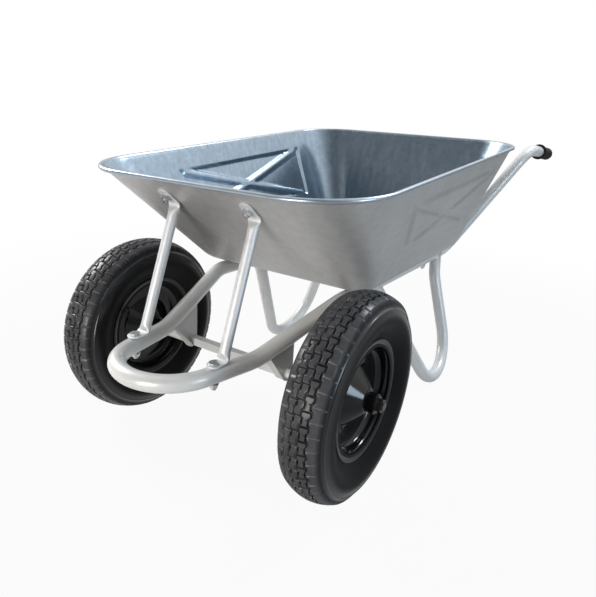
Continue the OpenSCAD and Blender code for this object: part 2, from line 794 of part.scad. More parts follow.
// Grips: rubber sleeves with a collar, closed over the tube end
module grip() {
    multmatrix(frame_at(handle_end, across(handle_way), -handle_way))
        difference() {
            union() {
                translate([0, 0, -grip_end]) cylinder(d = grip_d, h = grip_len + grip_end);
                translate([0, 0, grip_len - grip_collar]) cylinder(d = grip_collar_d, h = grip_collar);
            }
            translate([0, 0, -seat]) cylinder(d = tube_d + 2*seat, h = grip_len + past);
        }
}
module left_grip() {
    color(rubber) from_axle() grip();
}
module right_grip() {
    color(rubber) from_axle() mirror([1, 0, 0]) grip();
}

// Wheel about Z with its outer face to +Z. Tyre profile as [radius, distance from the middle plane]
rim_edge_r = rim_edge_d/2;
bead_r = bead_d/2;
bead_x = rim_w/2 - rim_t - seat;
side_steps = 12;
crown_steps = 8;
// Half profile of the carcass from bead to crown, drawn in by an inset under the tread and one at the side
function carcass(under, side) =
    let (
        low = rim_edge_r + edge_clear,
        shoulder = tyre_r - tread_crown - under,
        swell = tyre_w/2 - (tread_w/2 + bead_x)/2
    )
    concat(
        [for (k = [0:side_steps])
            let (s = k/side_steps)
            [low + (shoulder - low)*s, bead_x + (tread_w/2 - bead_x)*s + swell*sin(180*s) - side]],
        [for (k = [1:crown_steps])
            let (s = 1 - k/crown_steps)
            [shoulder + tread_crown*(1 - s*s), (tread_w/2 - side)*s]]
    );
function both_halves(half) =
    concat(half, [for (k = [len(half) - 2:-1:0]) [half[k].x, -half[k].y]]);
tyre_inset = [tread_t, side_t];
tube_gap = face_play;
module tyre_solid() {
    bead_t = side_t + bead_more;
    difference() {
        rotate_extrude()
            polygon(concat(
                [[bead_r + seat, bead_x]],
                both_halves(carcass(0, 0)),
                [[bead_r + seat, -bead_x], [bead_r + seat, bead_t - bead_x]],
                [for (p = both_halves(carcass(tyre_inset.x, tyre_inset.y))) [p.x, -p.y]],
                [[bead_r + seat, bead_x - bead_t]]
            ));
        for (side = [-1, 1])
            translate([0, 0, side*tread_w/5 - groove_w/2])
                washer(tyre_d - 2*groove_depth, tyre_d + 4*past, groove_w);
    }
}
module inner_tube_solid() {
    skin = tyre_inset + [tube_gap, tube_gap];
    air = skin + [tube_rubber, tube_rubber];
    air_low = rim_edge_r + edge_clear + tube_rubber;
    rotate_extrude()
        difference() {
            polygon(both_halves(carcass(skin.x, skin.y)));
            polygon(both_halves([for (p = carcass(air.x, air.y)) [max(p.x, air_low), p.y]]));
        }
}
// Half of a rim: edge, bead seat, a round down to the flat ring on the middle plane, and a cone to the hub
module rim_half() {
    hub_r = hub_d/2 + seat;
    ring_r = rim_ring_d/2;
    barrel_r = bead_r - rim_t;
    back = rim_w/2 - rim_t;
    face = seat + rim_t;
    rotate_extrude()
        polygon(concat(
            [[barrel_r, rim_w/2], [rim_edge_r, rim_w/2], [rim_edge_r, back], [bead_r, back]],
            corner_arc([bead_r, back], [bead_r, seat], [ring_r, seat], dish_r + rim_t),
            [[ring_r, seat], [hub_r, cone_reach], [hub_r, cone_reach + rim_t], [ring_r + rim_t/2, face]],
            corner_arc([ring_r, face], [barrel_r, face], [barrel_r, rim_w/2], dish_r)
        ));
}
valve_x = -rim_w/4;
valve_hole_d = valve_d + 2*hole_play;
// Valve along X from the bead seat towards the axle, on the inner side of the wheel
module at_valve() {
    rotate([0, 0, valve_angle]) translate([bead_r, 0, valve_x]) rotate([0, -90, 0]) children();
}
module rim_inner_solid() {
    difference() {
        mirror([0, 0, 1]) rim_half();
        at_valve() translate([0, 0, -past]) cylinder(d = valve_hole_d, h = dish_r);
    }
}
module hub_solid() {
    translate([0, 0, -hub_len/2]) washer(axle_d + 2*bush_t, hub_d, hub_len);
}
module bush() {
    translate([0, 0, hub_len/2 - bush_len])
        washer(axle_d + 2*run_play, axle_d + 2*bush_t - 2*seat, bush_len + seat);
    translate([0, 0, hub_len/2 + seat]) washer(axle_d + 2*run_play, hub_d, bush_collar - seat);
}
module bushes_solid() {
    bush();
    mirror([0, 0, 1]) bush();
}
valve_root = rim_edge_r + edge_clear - bead_r + seat;
module valve_stem_solid() {
    at_valve()
        translate([0, 0, seat - valve_root + valve_clear]) cylinder(d = valve_d, h = valve_root + valve_len);
}
module valve_cap_solid() {
    at_valve()
        translate([0, 0, valve_len + 2*seat + valve_clear]) cylinder(d = valve_d - 1, h = valve_cap_len);
}
module left_wheel() {
    from_axle() on_axle(wheel_x) children();
}
module right_wheel() {
    from_axle() mirror([1, 0, 0]) on_axle(wheel_x) children();
}
module left_tyre() {
    color(rubber) left_wheel() tyre_solid();
}
module left_inner_tube() {
    color(rubber) left_wheel() inner_tube_solid();
}
module left_rim_outer() {
    color(black_paint) left_wheel() rim_half();
}
module left_rim_inner() {
    color(black_paint) left_wheel() rim_inner_solid();
}
module left_hub() {
    color(black_paint) left_wheel() hub_solid();
}
module left_bushes() {
    color(black_paint) left_wheel() bushes_solid();
}
module left_valve_stem() {
    color(rubber) left_wheel() valve_stem_solid();
}
module left_valve_cap() {
    color(rubber) left_wheel() valve_cap_solid();
}
module right_tyre() {
    color(rubber) right_wheel() tyre_solid();
}
module right_inner_tube() {
    color(rubber) right_wheel() inner_tube_solid();
}
module right_rim_outer() {
    color(black_paint) right_wheel() rim_half();
}
module right_rim_inner() {
    color(black_paint) right_wheel() rim_inner_solid();
}
module right_hub() {
    color(black_paint) right_wheel() hub_solid();
}
module right_bushes() {
    color(black_paint) right_wheel() bushes_solid();
}
module right_valve_stem() {
    color(rubber) right_wheel() valve_stem_solid();
}
module right_valve_cap() {
    color(rubber) right_wheel() valve_cap_solid();
}

main_tube();
left_leg();
right_leg();
left_axle_bracket();
right_axle_bracket();
axle();
left_axle_spacer();
right_axle_spacer();
axle_washers();
axle_nuts();
left_brace();
right_brace();
brace_lower_bolts();
brace_upper_bolts();
brace_washers();
brace_nuts();
tray();
rim_wire();
tray_bolts();
tray_washers();
tray_nuts();
left_grip();
right_grip();
left_tyre();
left_inner_tube();
left_rim_outer();
left_rim_inner();
left_hub();
left_bushes();
left_valve_stem();
left_valve_cap();
right_tyre();
right_inner_tube();
right_rim_outer();
right_rim_inner();
right_hub();
right_bushes();
right_valve_stem();
right_valve_cap();
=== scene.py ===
# %% [markdown]
# # A two wheel wheelbarrow
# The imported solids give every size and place. This lesson dresses them: it lights a small studio, makes a
# few finishes out of nodes, and draws each piece that shows as a surface worked out with numpy. The solids
# stay underneath for the motion, and the small fasteners are shown as they are, with a better finish.

# %% Load the solids
import json
import math

import bmesh
import bpy
import numpy as np
from mathutils import Matrix, Vector


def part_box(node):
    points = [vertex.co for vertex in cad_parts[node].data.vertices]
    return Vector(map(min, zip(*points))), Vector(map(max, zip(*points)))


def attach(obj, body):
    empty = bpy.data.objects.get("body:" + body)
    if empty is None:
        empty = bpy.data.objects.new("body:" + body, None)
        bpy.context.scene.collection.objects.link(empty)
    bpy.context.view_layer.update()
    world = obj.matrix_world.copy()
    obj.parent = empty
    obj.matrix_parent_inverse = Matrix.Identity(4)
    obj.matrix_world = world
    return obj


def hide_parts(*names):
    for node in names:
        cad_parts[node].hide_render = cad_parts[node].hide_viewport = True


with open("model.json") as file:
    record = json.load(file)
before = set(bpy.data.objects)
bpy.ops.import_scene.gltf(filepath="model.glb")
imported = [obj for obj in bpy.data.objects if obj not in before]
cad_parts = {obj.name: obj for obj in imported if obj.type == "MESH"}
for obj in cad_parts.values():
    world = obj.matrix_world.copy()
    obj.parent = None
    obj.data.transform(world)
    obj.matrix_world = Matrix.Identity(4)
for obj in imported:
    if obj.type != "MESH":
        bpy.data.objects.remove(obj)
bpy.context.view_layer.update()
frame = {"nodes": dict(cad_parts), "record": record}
MM = 0.001
axle_low, axle_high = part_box("axle")
AXLE_Y = (axle_low.y + axle_high.y) / 2
AXLE_Z = 200
WHEEL_X = 274.5


def placed(points):
    """Points in millimetres from the middle plane, the axle and the ground, as metres in the part's frame."""
    return np.asarray(points, float) * MM + np.array([0, AXLE_Y, 0])


print("solids", len(frame["nodes"]), "axle at", round(AXLE_Y, 4))

# %% [markdown]
# ## The camera
# The photograph was taken from the front left of the barrow, a little above the tray. The camera's place,
# its three angles and its lens were solved from the two wheels and the frame, so that every later picture
# can be laid over the photograph. Matching it by eye over a background image is another way, and it is less
# exact.

# %% Camera
CAMERA_AT = (643.8, -812.9, 681.7)
CAMERA_AZIMUTH = 31.64
CAMERA_ELEVATION = 18.68
CAMERA_ROLL = 3.867
FOCAL_PIXELS = 536.2
IMAGE_WIDTH = 596
SENSOR = 36


def camera_axes(azimuth, elevation, roll):
    """Right, up and backward directions of a camera: back from two angles, then a turn about it."""
    a, e, r = np.radians([azimuth, elevation, roll])
    back = np.array([np.sin(a) * np.cos(e), -np.cos(a) * np.cos(e), np.sin(e)])
    right = np.array([np.cos(a), np.sin(a), 0])
    up = np.cross(back, right)
    return np.cos(r) * right + np.sin(r) * up, np.cos(r) * up - np.sin(r) * right, back


camera = bpy.data.objects.new("camera", bpy.data.cameras.new("camera"))
bpy.context.scene.collection.objects.link(camera)
right, up, back = camera_axes(CAMERA_AZIMUTH, CAMERA_ELEVATION, CAMERA_ROLL)
turned = Matrix(np.column_stack([right, up, back]).tolist()).to_4x4()
camera.matrix_world = Matrix.Translation(Vector(placed(CAMERA_AT))) @ turned
camera.data.sensor_fit = "HORIZONTAL"
camera.data.sensor_width = SENSOR
camera.data.lens = SENSOR * FOCAL_PIXELS / IMAGE_WIDTH
camera.data.clip_end = 100
bpy.context.scene.camera = camera
print("lens", round(camera.data.lens, 2))

# %% [markdown]
# ## Finishes as expressions
# A finish is a small graph of nodes. It could be drawn in the node editor, but as arithmetic it is short and
# can be read: one class holds a socket, and each operator on it adds a Math node. Every other node comes from
# one method, which sets the node's own choices first and then links or fills its sockets.


# %% A socket that can be calculated with
class Wire:
    """A socket of a node tree, on which +, - and * each add a Math node."""

    def __init__(self, tree, socket=None):
        self.tree = tree
        self.socket = socket

    def node(self, kind, settings=None, sockets=None, out=0):
        """Adds a node of a kind, sets its choices, fills or links its sockets and gives one output."""
        made = self.tree.nodes.new(kind)
        for name, value in (settings or {}).items():
            setattr(made, name, value)
        for key, value in (sockets or {}).items():
            if isinstance(value, Wire):
                self.tree.links.new(value.socket, made.inputs[key])
            else:
                made.inputs[key].default_value = value
        return Wire(self.tree, made.outputs[out])

    def maths(self, operation, first, second):
        """A Math node on two values."""
        return self.node("ShaderNodeMath", {"operation": operation}, {0: first, 1: second})

    def __add__(self, other):
        return self.maths("ADD", self, other)

    def __sub__(self, other):
        return self.maths("SUBTRACT", self, other)

    def __mul__(self, other):
        return self.maths("MULTIPLY", self, other)

    def __rsub__(self, other):
        return self.maths("SUBTRACT", other, self)

    __radd__ = __add__
    __rmul__ = __mul__

    def between(self, low, high):
        """0 below low, 1 above high, and a soft step from one to the other."""
        limits = {"Value": self, "From Min": low, "From Max": high}
        return self.node("ShaderNodeMapRange", {"interpolation_type": "SMOOTHSTEP"}, limits)

    def colour(self, dark, light):
        """The colour that lies this far on the way from dark to light."""
        ends = {0: self, 6: (*dark, 1), 7: (*light, 1)}
        return self.node("ShaderNodeMix", {"data_type": "RGBA"}, ends, 2)

    def mixed(self, first, second):
        """The colour that lies this far on the way from one colour wire to another."""
        return self.node("ShaderNodeMix", {"data_type": "RGBA"}, {0: self, 6: first, 7: second}, 2)


def begin(name):
    """A new material, the object coordinates of what it is put on, and its surface shader."""
    material = bpy.data.materials.new(name)
    material.use_nodes = True
    wire = Wire(material.node_tree)
    place = wire.node("ShaderNodeTexCoord", out="Object")
    return material, place, material.node_tree.nodes["Principled BSDF"]


def noise(place, scale, detail=3):
    """Soft cloudy noise with about scale lumps to the metre."""
    return place.node("ShaderNodeTexNoise", None, {"Vector": place, "Scale": scale, "Detail": detail})


def stretched(place, x, y, z):
    """The same place with each axis stretched, so that a noise on it turns into streaks."""
    return place.node("ShaderNodeMapping", None, {"Vector": place, "Scale": (x, y, z)})


def finish(shader, fixed, varied, relief, depth, strength):
    """Sets the fixed sockets of a shader, links the varied ones, and gives it a relief as a bump."""
    for name, value in fixed.items():
        shader.inputs[name].default_value = value
    for name, value in varied.items():
        value.tree.links.new(value.socket, shader.inputs[name])
    sockets = {"Strength": strength, "Distance": depth, "Height": relief}
    bump = relief.node("ShaderNodeBump", None, sockets)
    bump.tree.links.new(bump.socket, shader.inputs["Normal"])


# %% [markdown]
# ## Galvanised sheet, paint, zinc and rubber
# The tray is galvanised: a dull metal with a faint patchwork of crystals and long streaks from the rolling
# mill. Its inside is a darker, bluer and shinier copy of the sheet, a painted shade with a painted bluish
# reflection, and its outside is lighter and warmer, so the mesh says for each point how far inside it lies.
# The tube is sprayed with silver grey paint, and the axle too, apart from its bare ends. Bolts are bright
# zinc, braces are a paler and softer zinc, the wheel discs are gloss black, and tyres and grips are black
# rubber. Where a tyre meets the road its rubber is scuffed and paler, the edges of its blocks paler still as
# a painted highlight, and its shoulders shine, which the mesh says too. The rest is noise and cells in the
# object's own coordinates: a painted image would need a file and an unwrapped mesh, and these need neither.


# %% Shares
def share(place, name):
    """A number that the mesh holds for each point."""
    return place.node("ShaderNodeAttribute", {"attribute_name": name}, out="Fac")


# %% Galvanised sheet
def galvanised_sheet():
    """A sum of crystals, streaks, drips and clouds runs from dark to light, outside and inside apart, with
    painted shade and a painted bluish reflection on the inside.
    """
    material, place, shader = begin("galvanised_sheet")
    cells = place.node("ShaderNodeTexVoronoi", None, {"Vector": place, "Scale": 120}, "Color")
    # The random colour of each cell as one number
    crystal = cells * 1.0
    streak = noise(stretched(place, 14, 1.2, 30), 3, 4)
    drip = noise(stretched(place, 60, 60, 1.5), 1, 3)
    cloud = noise(place, 5)
    inside = share(place, "inside")
    worn = crystal * 0.1 + streak * 0.3 + drip * 0.3 + cloud * 0.3
    # Outside and inside are lit and shaded copies of one sheet, told apart by the share called inside
    outside_tone = worn.colour((0.30, 0.30, 0.295), (0.69, 0.685, 0.68))
    bright = crystal * 0.15 + drip * 0.5 + cloud * 0.35
    # The inside colour is darker and bluer than the outside: a painted shade with a painted bluish reflection
    shaded_inside_tone = bright.colour((0.18, 0.24, 0.30), (0.47, 0.58, 0.69))
    varied = {
        "Base Color": inside.mixed(outside_tone, shaded_inside_tone),
        "Roughness": crystal * 0.04 + streak * 0.07 + 0.4 - inside * 0.22,
        "Metallic": inside * 0.36 + 0.56,
    }
    finish(shader, {}, varied, cloud * 0.6 + crystal * 0.03, 0.004, 0.12)
    return material


# %% Silver paint
NEVER_BARE = 9.0
AXLE_BARE_FROM = 0.2
PAINT_FADE = 0.004


def silver_paint(name, bare_from):
    """Cloudy paint that ends at a distance in metres from the middle plane, where bare dark steel begins."""
    material, place, shader = begin(name)
    peel = noise(place, 420, 2)
    cloud = noise(place, 9)
    grime = noise(place, 40, 5).between(0.55, 0.75)
    along = place.node("ShaderNodeSeparateXYZ", None, {"Vector": place}, "X")
    bare = place.maths("ABSOLUTE", along, 0).between(bare_from, bare_from + PAINT_FADE)
    paint = (cloud * 0.85 + (1 - grime) * 0.15).colour((0.60, 0.60, 0.59), (0.84, 0.84, 0.83))
    steel = grime.colour((0.02, 0.02, 0.021), (0.06, 0.058, 0.055))
    varied = {
        "Base Color": bare.mixed(paint, steel),
        "Roughness": cloud * 0.1 + grime * 0.08 + 0.3,
    }
    fixed = {"Metallic": 0.1, "Coat Weight": 0.4, "Coat Roughness": 0.12}
    finish(shader, fixed, varied, peel, 0.0004, 0.25)
    return material


# %% Zinc and black paint
def zinc(name, dark, light, rough, metal):
    """Clouds run from dark to light and add to the roughness, and fine lines add a little more to it."""
    material, place, shader = begin(name)
    cloud = noise(place, 60, 4)
    fine = noise(stretched(place, 1, 1, 0.1), 900, 2)
    varied = {
        "Base Color": cloud.colour(dark, light),
        "Roughness": cloud * 0.12 + fine * 0.08 + rough,
    }
    finish(shader, {"Metallic": metal}, varied, fine, 0.0003, 0.15)
    return material


def gloss_black(name, dark, light, rough):
    """Black paint with patches of dust, which are lighter and rougher, and an orange peel relief."""
    material, place, shader = begin(name)
    peel = noise(place, 160, 2)
    dust = noise(place, 26, 5).between(0.5, 0.8)
    varied = {
        "Base Color": dust.colour(dark, light),
        "Roughness": dust * 0.12 + rough,
    }
    finish(shader, {"Specular IOR Level": 0.4}, varied, peel, 0.0006, 0.12)
    return material


# %% Rubber
def black_rubber(name, dark, light, scuff_and_edge_highlight, rough):
    """Dusty rubber with pores, paler by the share called crown, which holds scuffs and a painted highlight on
    block edges, and shinier by the share called sheen.
    """
    material, place, shader = begin(name)
    pores = noise(place, 700, 3)
    dust = noise(place, 18, 5)
    crown = share(place, "crown")
    sheen = share(place, "sheen")
    plain = (dust * 0.8 + pores * 0.2).colour(dark, light)
    varied = {
        # The crown share mixes in the pale scuff colour; where it peaks on block edges it is a painted
        # highlight
        "Base Color": crown.mixed(plain, dust.colour(light, scuff_and_edge_highlight)),
        "Roughness": dust * 0.2 + pores * 0.1 + rough,
        "Coat Weight": crown * dust * 1.2 + sheen * 0.94 + 0.06,
    }
    finish(shader, {"Specular IOR Level": 0.07, "Coat Roughness": 0.22}, varied, pores, 0.0006, 0.3)
    return material


# %% All the finishes
SHEET = galvanised_sheet()
PAINT = silver_paint("silver_paint", NEVER_BARE)
AXLE = silver_paint("part_painted_axle", AXLE_BARE_FROM)
ZINC = zinc("bright_zinc", (0.54, 0.55, 0.56), (0.72, 0.73, 0.74), 0.2, 0.95)
SATIN = zinc("satin_zinc", (0.64, 0.65, 0.66), (0.80, 0.81, 0.82), 0.42, 0.5)
GLOSS = gloss_black("gloss_black", (0.005, 0.005, 0.0055), (0.012, 0.012, 0.012), 0.13)
STEEL = gloss_black("black_steel", (0.012, 0.012, 0.013), (0.035, 0.034, 0.033), 0.25)
TYRE = black_rubber("tyre_rubber", (0.004, 0.004, 0.0045), (0.009, 0.0092, 0.01), (0.26, 0.26, 0.28), 0.36)
GRIP = black_rubber("grip_rubber", (0.008, 0.008, 0.008), (0.02, 0.02, 0.02), (0.02, 0.02, 0.02), 0.4)
print("finishes", [m.name for m in (SHEET, PAINT, AXLE, ZINC, SATIN, GLOSS, STEEL, TYRE, GRIP)])

# %% [markdown]
# ## From a grid of points to a piece
# A surface is a table of points with two parameters. Two neighbours in each direction make a face, so the
# faces are plain index arithmetic. Points that coincide, at a seam or a pole, are merged afterwards. Some of
# these shapes could be made with Blender's own tools, but a table of points is quick and keeps every size in
# view.


# %% Grid surfaces
MERGE = 1e-6


def grid_faces(rows, columns, start):
    """Corner numbers of all faces of a rows by columns grid, whose last column joins the first."""
    i = np.arange(rows - 1)[:, None] * columns
    j = np.arange(columns)[None, :]
    k = (j + 1) % columns
    return np.stack([i + j, i + k, i + columns + k, i + columns + j], -1).reshape(-1, 4) + start


def piece(name, grids, body, stands_for, material, sharp=38, shares=None):
    """A mesh of grids of points in metres, merged at its seams, that rides on a body and keeps its shares."""
    starts = np.cumsum([0] + [g.shape[0] * g.shape[1] for g in grids])
    points = np.concatenate([g.reshape(-1, 3) for g in grids])
    quads = np.concatenate([grid_faces(g.shape[0], g.shape[1], s) for g, s in zip(grids, starts)])
    mesh = bpy.data.meshes.new(name)
    mesh.vertices.add(len(points))
    mesh.vertices.foreach_set("co", points.astype(np.float32).ravel())
    mesh.loops.add(quads.size)
    mesh.loops.foreach_set("vertex_index", quads.astype(np.int32).ravel())
    mesh.polygons.add(len(quads))
    mesh.polygons.foreach_set("loop_start", np.arange(0, quads.size, 4, dtype=np.int32))
    mesh.update(calc_edges=True)
    for share_name, values in (shares or {}).items():
        layer = mesh.attributes.new(share_name, "FLOAT", "POINT")
        layer.data.foreach_set("value", np.asarray(values, np.float32).ravel())
    mesh.validate()
    solid = bmesh.new()
    solid.from_mesh(mesh)
    bmesh.ops.remove_doubles(solid, verts=solid.verts, dist=MERGE)
    bmesh.ops.recalc_face_normals(solid, faces=solid.faces)
    solid.to_mesh(mesh)
    solid.free()
    mesh.polygons.foreach_set("use_smooth", np.ones(len(mesh.polygons), bool))
    mesh.set_sharp_from_angle(angle=math.radians(sharp))
    mesh.materials.append(material)
    made = bpy.data.objects.new(name, mesh)
    bpy.context.scene.collection.objects.link(made)
    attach(made, body)
    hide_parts(*stands_for)
    print(name, "faces", len(mesh.polygons))


def unit(v):
    """The same direction with a length of 1."""
    return np.asarray(v, float) / np.linalg.norm(v)


def corner_arc(a, b, c, radius, steps):
    """Arc that rounds corner b. It starts and ends at radius / tan(half the angle) from b."""
    u, w = unit(a - b), unit(c - b)
    half = np.arccos(np.clip(u @ w, -1, 1)) / 2
    centre = b + unit(u + w) * radius / np.sin(half)
    first = b + u * radius / np.tan(half) - centre
    t = np.linspace(0, np.pi - 2 * half, steps + 1)[:, None]
    return centre + first * np.cos(t) - u * radius * np.sin(t)


def soft_step(x):
    """0 below 0, 1 above 1, and a smooth cubic between."""
    x = np.clip(x, 0, 1)
    return x * x * (3 - 2 * x)


def mirrored(grid):
    """The same grid on the other side of the middle plane."""
    return grid * np.array([-1, 1, 1])


SIDES = (("left", np.asarray), ("right", mirrored))


# %% [markdown]
# ## The tray
# The tray is one pressed sheet. Its floor and its rim are both four-sided outlines with round corners, and
# each wall is the straight sheet between them, so the whole tray is a loft with a bend above the floor. The
# edge is rolled outwards round a wire, and a panel with two crossed ribs is pressed into each side wall. A
# box with bevels and a Solidify modifier would come close. The loft gives both faces of the sheet and the
# rolled edge as one closed surface, and each measure of the tray stays one number.

# %% Tray outlines
SHEET_T = 1.2
FLOOR_Z = 343.02
FLOOR_FRONT, FLOOR_REAR = 142, 765
FLOOR_HALF_FRONT, FLOOR_HALF_REAR, FLOOR_CORNER = 218, 207.88, 40
FLOOR_BEND = 35
RIM_FRONT, RIM_REAR = -141, 832
RIM_HALF_FRONT, RIM_HALF_REAR = 311, 328
RIM_FRONT_CORNER, RIM_REAR_CORNER = 140, 124
RIM_FRONT_Z, RIM_REAR_Z = 564, 649
CURL = 3.23
CORNER_STEPS, LONG_STEPS, SHORT_STEPS = 20, 190, 14


def outline(front, rear, half_front, half_rear, front_radius, rear_radius):
    """Plan outline of four rounded corners, with each straight side cut into even steps."""
    p = np.array([[half_front, front], [half_rear, rear], [-half_rear, rear], [-half_front, front]], float)
    radii = [front_radius, rear_radius, rear_radius, front_radius]
    arcs = [corner_arc(p[i - 1], p[i], p[(i + 1) % 4], radii[i], CORNER_STEPS) for i in range(4)]
    steps = [LONG_STEPS, SHORT_STEPS, LONG_STEPS, SHORT_STEPS]
    runs = []
    for i in range(4):
        t = np.linspace(0, 1, steps[i])[1:-1, None]
        runs += [arcs[i], arcs[i][-1] * (1 - t) + arcs[(i + 1) % 4][0] * t]
    return np.concatenate(runs)


floor_plan = outline(FLOOR_FRONT, FLOOR_REAR, FLOOR_HALF_FRONT, FLOOR_HALF_REAR, FLOOR_CORNER, FLOOR_CORNER)
rim_plan = outline(RIM_FRONT, RIM_REAR, RIM_HALF_FRONT, RIM_HALF_REAR, RIM_FRONT_CORNER, RIM_REAR_CORNER)
rim_slope = (RIM_REAR_Z - RIM_FRONT_Z) / (RIM_REAR - RIM_FRONT)
floor_line = np.column_stack([floor_plan, np.full(len(floor_plan), FLOOR_Z)])
rim_line = np.column_stack([rim_plan, RIM_FRONT_Z + (rim_plan[:, 1] - RIM_FRONT) * rim_slope])
along = np.roll(rim_plan, -1, 0) - np.roll(rim_plan, 1, 0)
outward = np.column_stack([along[:, 1], -along[:, 0], np.zeros(len(along))])
outward /= np.linalg.norm(outward, axis=1)[:, None]
print("tray outline points", len(rim_line))

# %% Pressed side panels
PANEL_FRONT, PANEL_REAR, PANEL_DROP = 270, 806, 48
PANEL_FRONT_H, PANEL_REAR_H, PANEL_SLANT = 112, 148, 68
PANEL_RISE, PANEL_EDGE = 5.0, 8.0
RIB_HALF, RIB_EDGE, RIB_SHORT = 4.0, 8.5, 26.0
SIDE_FACING = 0.99
side_corner = np.array([RIM_HALF_FRONT, RIM_FRONT, RIM_FRONT_Z], float)
side_along = unit([RIM_HALF_REAR - RIM_HALF_FRONT, RIM_REAR - RIM_FRONT, RIM_REAR_Z - RIM_FRONT_Z])
side_down = np.array([FLOOR_HALF_FRONT, FLOOR_FRONT, FLOOR_Z]) - side_corner
side_out = unit(np.cross(side_along, side_down))
side_out = side_out * np.sign(side_out[0])
side_up = np.cross(side_out, side_along)
PANEL = np.array([
    [PANEL_FRONT, -PANEL_DROP],
    [PANEL_FRONT + PANEL_SLANT, -PANEL_DROP - PANEL_FRONT_H],
    [PANEL_REAR - PANEL_SLANT / 4, -PANEL_DROP - PANEL_REAR_H],
    [PANEL_REAR, -PANEL_DROP],
])


def panel_height(x, y):
    """Height of the pressed panel at wall place x, y: a soft step inside the four edges, less two ribs."""
    inside = np.full(x.shape, np.inf)
    for a, b in zip(PANEL, np.roll(PANEL, -1, 0)):
        way = unit(b - a)
        inside = np.minimum(inside, way[0] * (y - a[1]) - way[1] * (x - a[0]))
    raised = soft_step(inside / PANEL_EDGE)
    for a, b in ((PANEL[1], PANEL[3]), (PANEL[0], PANEL[2])):
        way = unit(b - a)
        run = (x - a[0]) * way[0] + (y - a[1]) * way[1]
        off = np.abs((y - a[1]) * way[0] - (x - a[0]) * way[1])
        ends = np.minimum(run, np.linalg.norm(b - a) - run) - RIB_SHORT
        near = np.hypot(np.maximum(-ends, 0), off)
        raised = raised * soft_step((near - RIB_HALF) / RIB_EDGE)
    return raised * PANEL_RISE


def with_panels(grid):
    """Moves the points of both side walls outwards by the height of the pressed panel."""
    hand = np.sign(grid[..., 0])
    local = np.stack([np.abs(grid[..., 0]), grid[..., 1], grid[..., 2]], -1) - side_corner
    lift = panel_height(local @ side_along, local @ side_up)
    lift = lift * (np.abs(outward[:, 0]) > SIDE_FACING)[None, :]
    push = side_out * lift[..., None]
    push[..., 0] *= hand
    return grid + push


print("panel height", panel_height(np.array([600.0, 540.0]), np.array([-70.0, -112.0])).round(2))

# %% Tray sheet
WALL_STEPS, BEND_STEPS, CURL_STEPS = 72, 8, 10
CURL_END = -120


def wall_rows(base, rim):
    """Rows from the floor up to the rim: a quadratic bend of the sheet, then even steps up the wall."""
    reach = np.linalg.norm(rim - base, axis=1)[:, None]
    way = (rim - base) / reach
    bend_in = base - outward * FLOOR_BEND
    bend_up = base + way * FLOOR_BEND
    s = np.linspace(0, 1, BEND_STEPS + 1)[:, None, None]
    bend = (1 - s) ** 2 * bend_in + 2 * s * (1 - s) * base + s * s * bend_up
    t = np.linspace(0, 1, WALL_STEPS + 1)[1:-1, None, None]
    wall = bend_up + (rim - bend_up) * t
    return np.concatenate([bend, wall])


def curl_rows(radius, first, last):
    """Rows of a circle about the wire, from one angle to another; angle 0 points outwards, 90 up."""
    a = np.radians(np.linspace(first, last, CURL_STEPS + 1))[:, None, None]
    middle = rim_line + outward * CURL
    return middle + radius * (np.cos(a) * outward + np.sin(a) * np.array([0, 0, 1]))


rise = (rim_line - floor_line)[:, 2:]
slant = np.linalg.norm(rim_line - floor_line, axis=1)[:, None] / rise
inner_floor = floor_line + (rim_line - floor_line) * SHEET_T / rise - outward * SHEET_T * slant
inner_rim = rim_line - outward * SHEET_T * slant
floor_middle = np.array([0, (FLOOR_FRONT + FLOOR_REAR) / 2, FLOOR_Z])
inside_middle = np.tile(floor_middle + [0, 0, SHEET_T], (1, len(rim_line), 1))
outside_middle = np.tile(floor_middle, (1, len(rim_line), 1))
tray_rows = [
    inside_middle,
    with_panels(wall_rows(inner_floor, inner_rim)),
    curl_rows(CURL + SHEET_T, 180, CURL_END),
    curl_rows(CURL, CURL_END, 180),
    with_panels(wall_rows(floor_line, rim_line))[::-1],
    outside_middle,
]
INSIDE_OF_ROWS = [1, 1, 0.7, 0, 0, 0]
tray_inside = np.concatenate([np.full(rows.shape[:2], s) for rows, s in zip(tray_rows, INSIDE_OF_ROWS)])
tray_grid = placed(np.concatenate(tray_rows))
tray_shares = {"inside": tray_inside}
piece("tray_sheet", [tray_grid], "frame", ["tray"], SHEET, shares=tray_shares)

# %% [markdown]
# ## Bent tube
# The frame is one long tube, bent cold round rollers. A tube is a circle carried along a path: the path is a
# row of corners rounded by arcs, and at each station the circle lies square to the path. A curve with a round
# bevel gives the same tube, but the legs need its rings of points, to cut their ends.

# %% Sweeps
TUBE_R = 16
TUBE_SIDES = 48
LEAST_ARC_STEPS = 6
NOT_ALONG_PATH = [0.3, 0.2, 1.0]


def bent_path(corners, radii, step=5):
    """Points along straight runs and the arcs between them, with a point every few millimetres of arc."""
    corners = np.asarray(corners, float)
    parts = [corners[:1]]
    for i, radius in enumerate(radii, 1):
        before, after = unit(corners[i] - corners[i - 1]), unit(corners[i + 1] - corners[i])
        turn = np.arccos(np.clip(before @ after, -1, 1))
        steps = max(LEAST_ARC_STEPS, int(turn * radius / step))
        parts.append(corner_arc(corners[i - 1], corners[i], corners[i + 1], radius, steps))
    return np.concatenate(parts + [corners[-1:]])


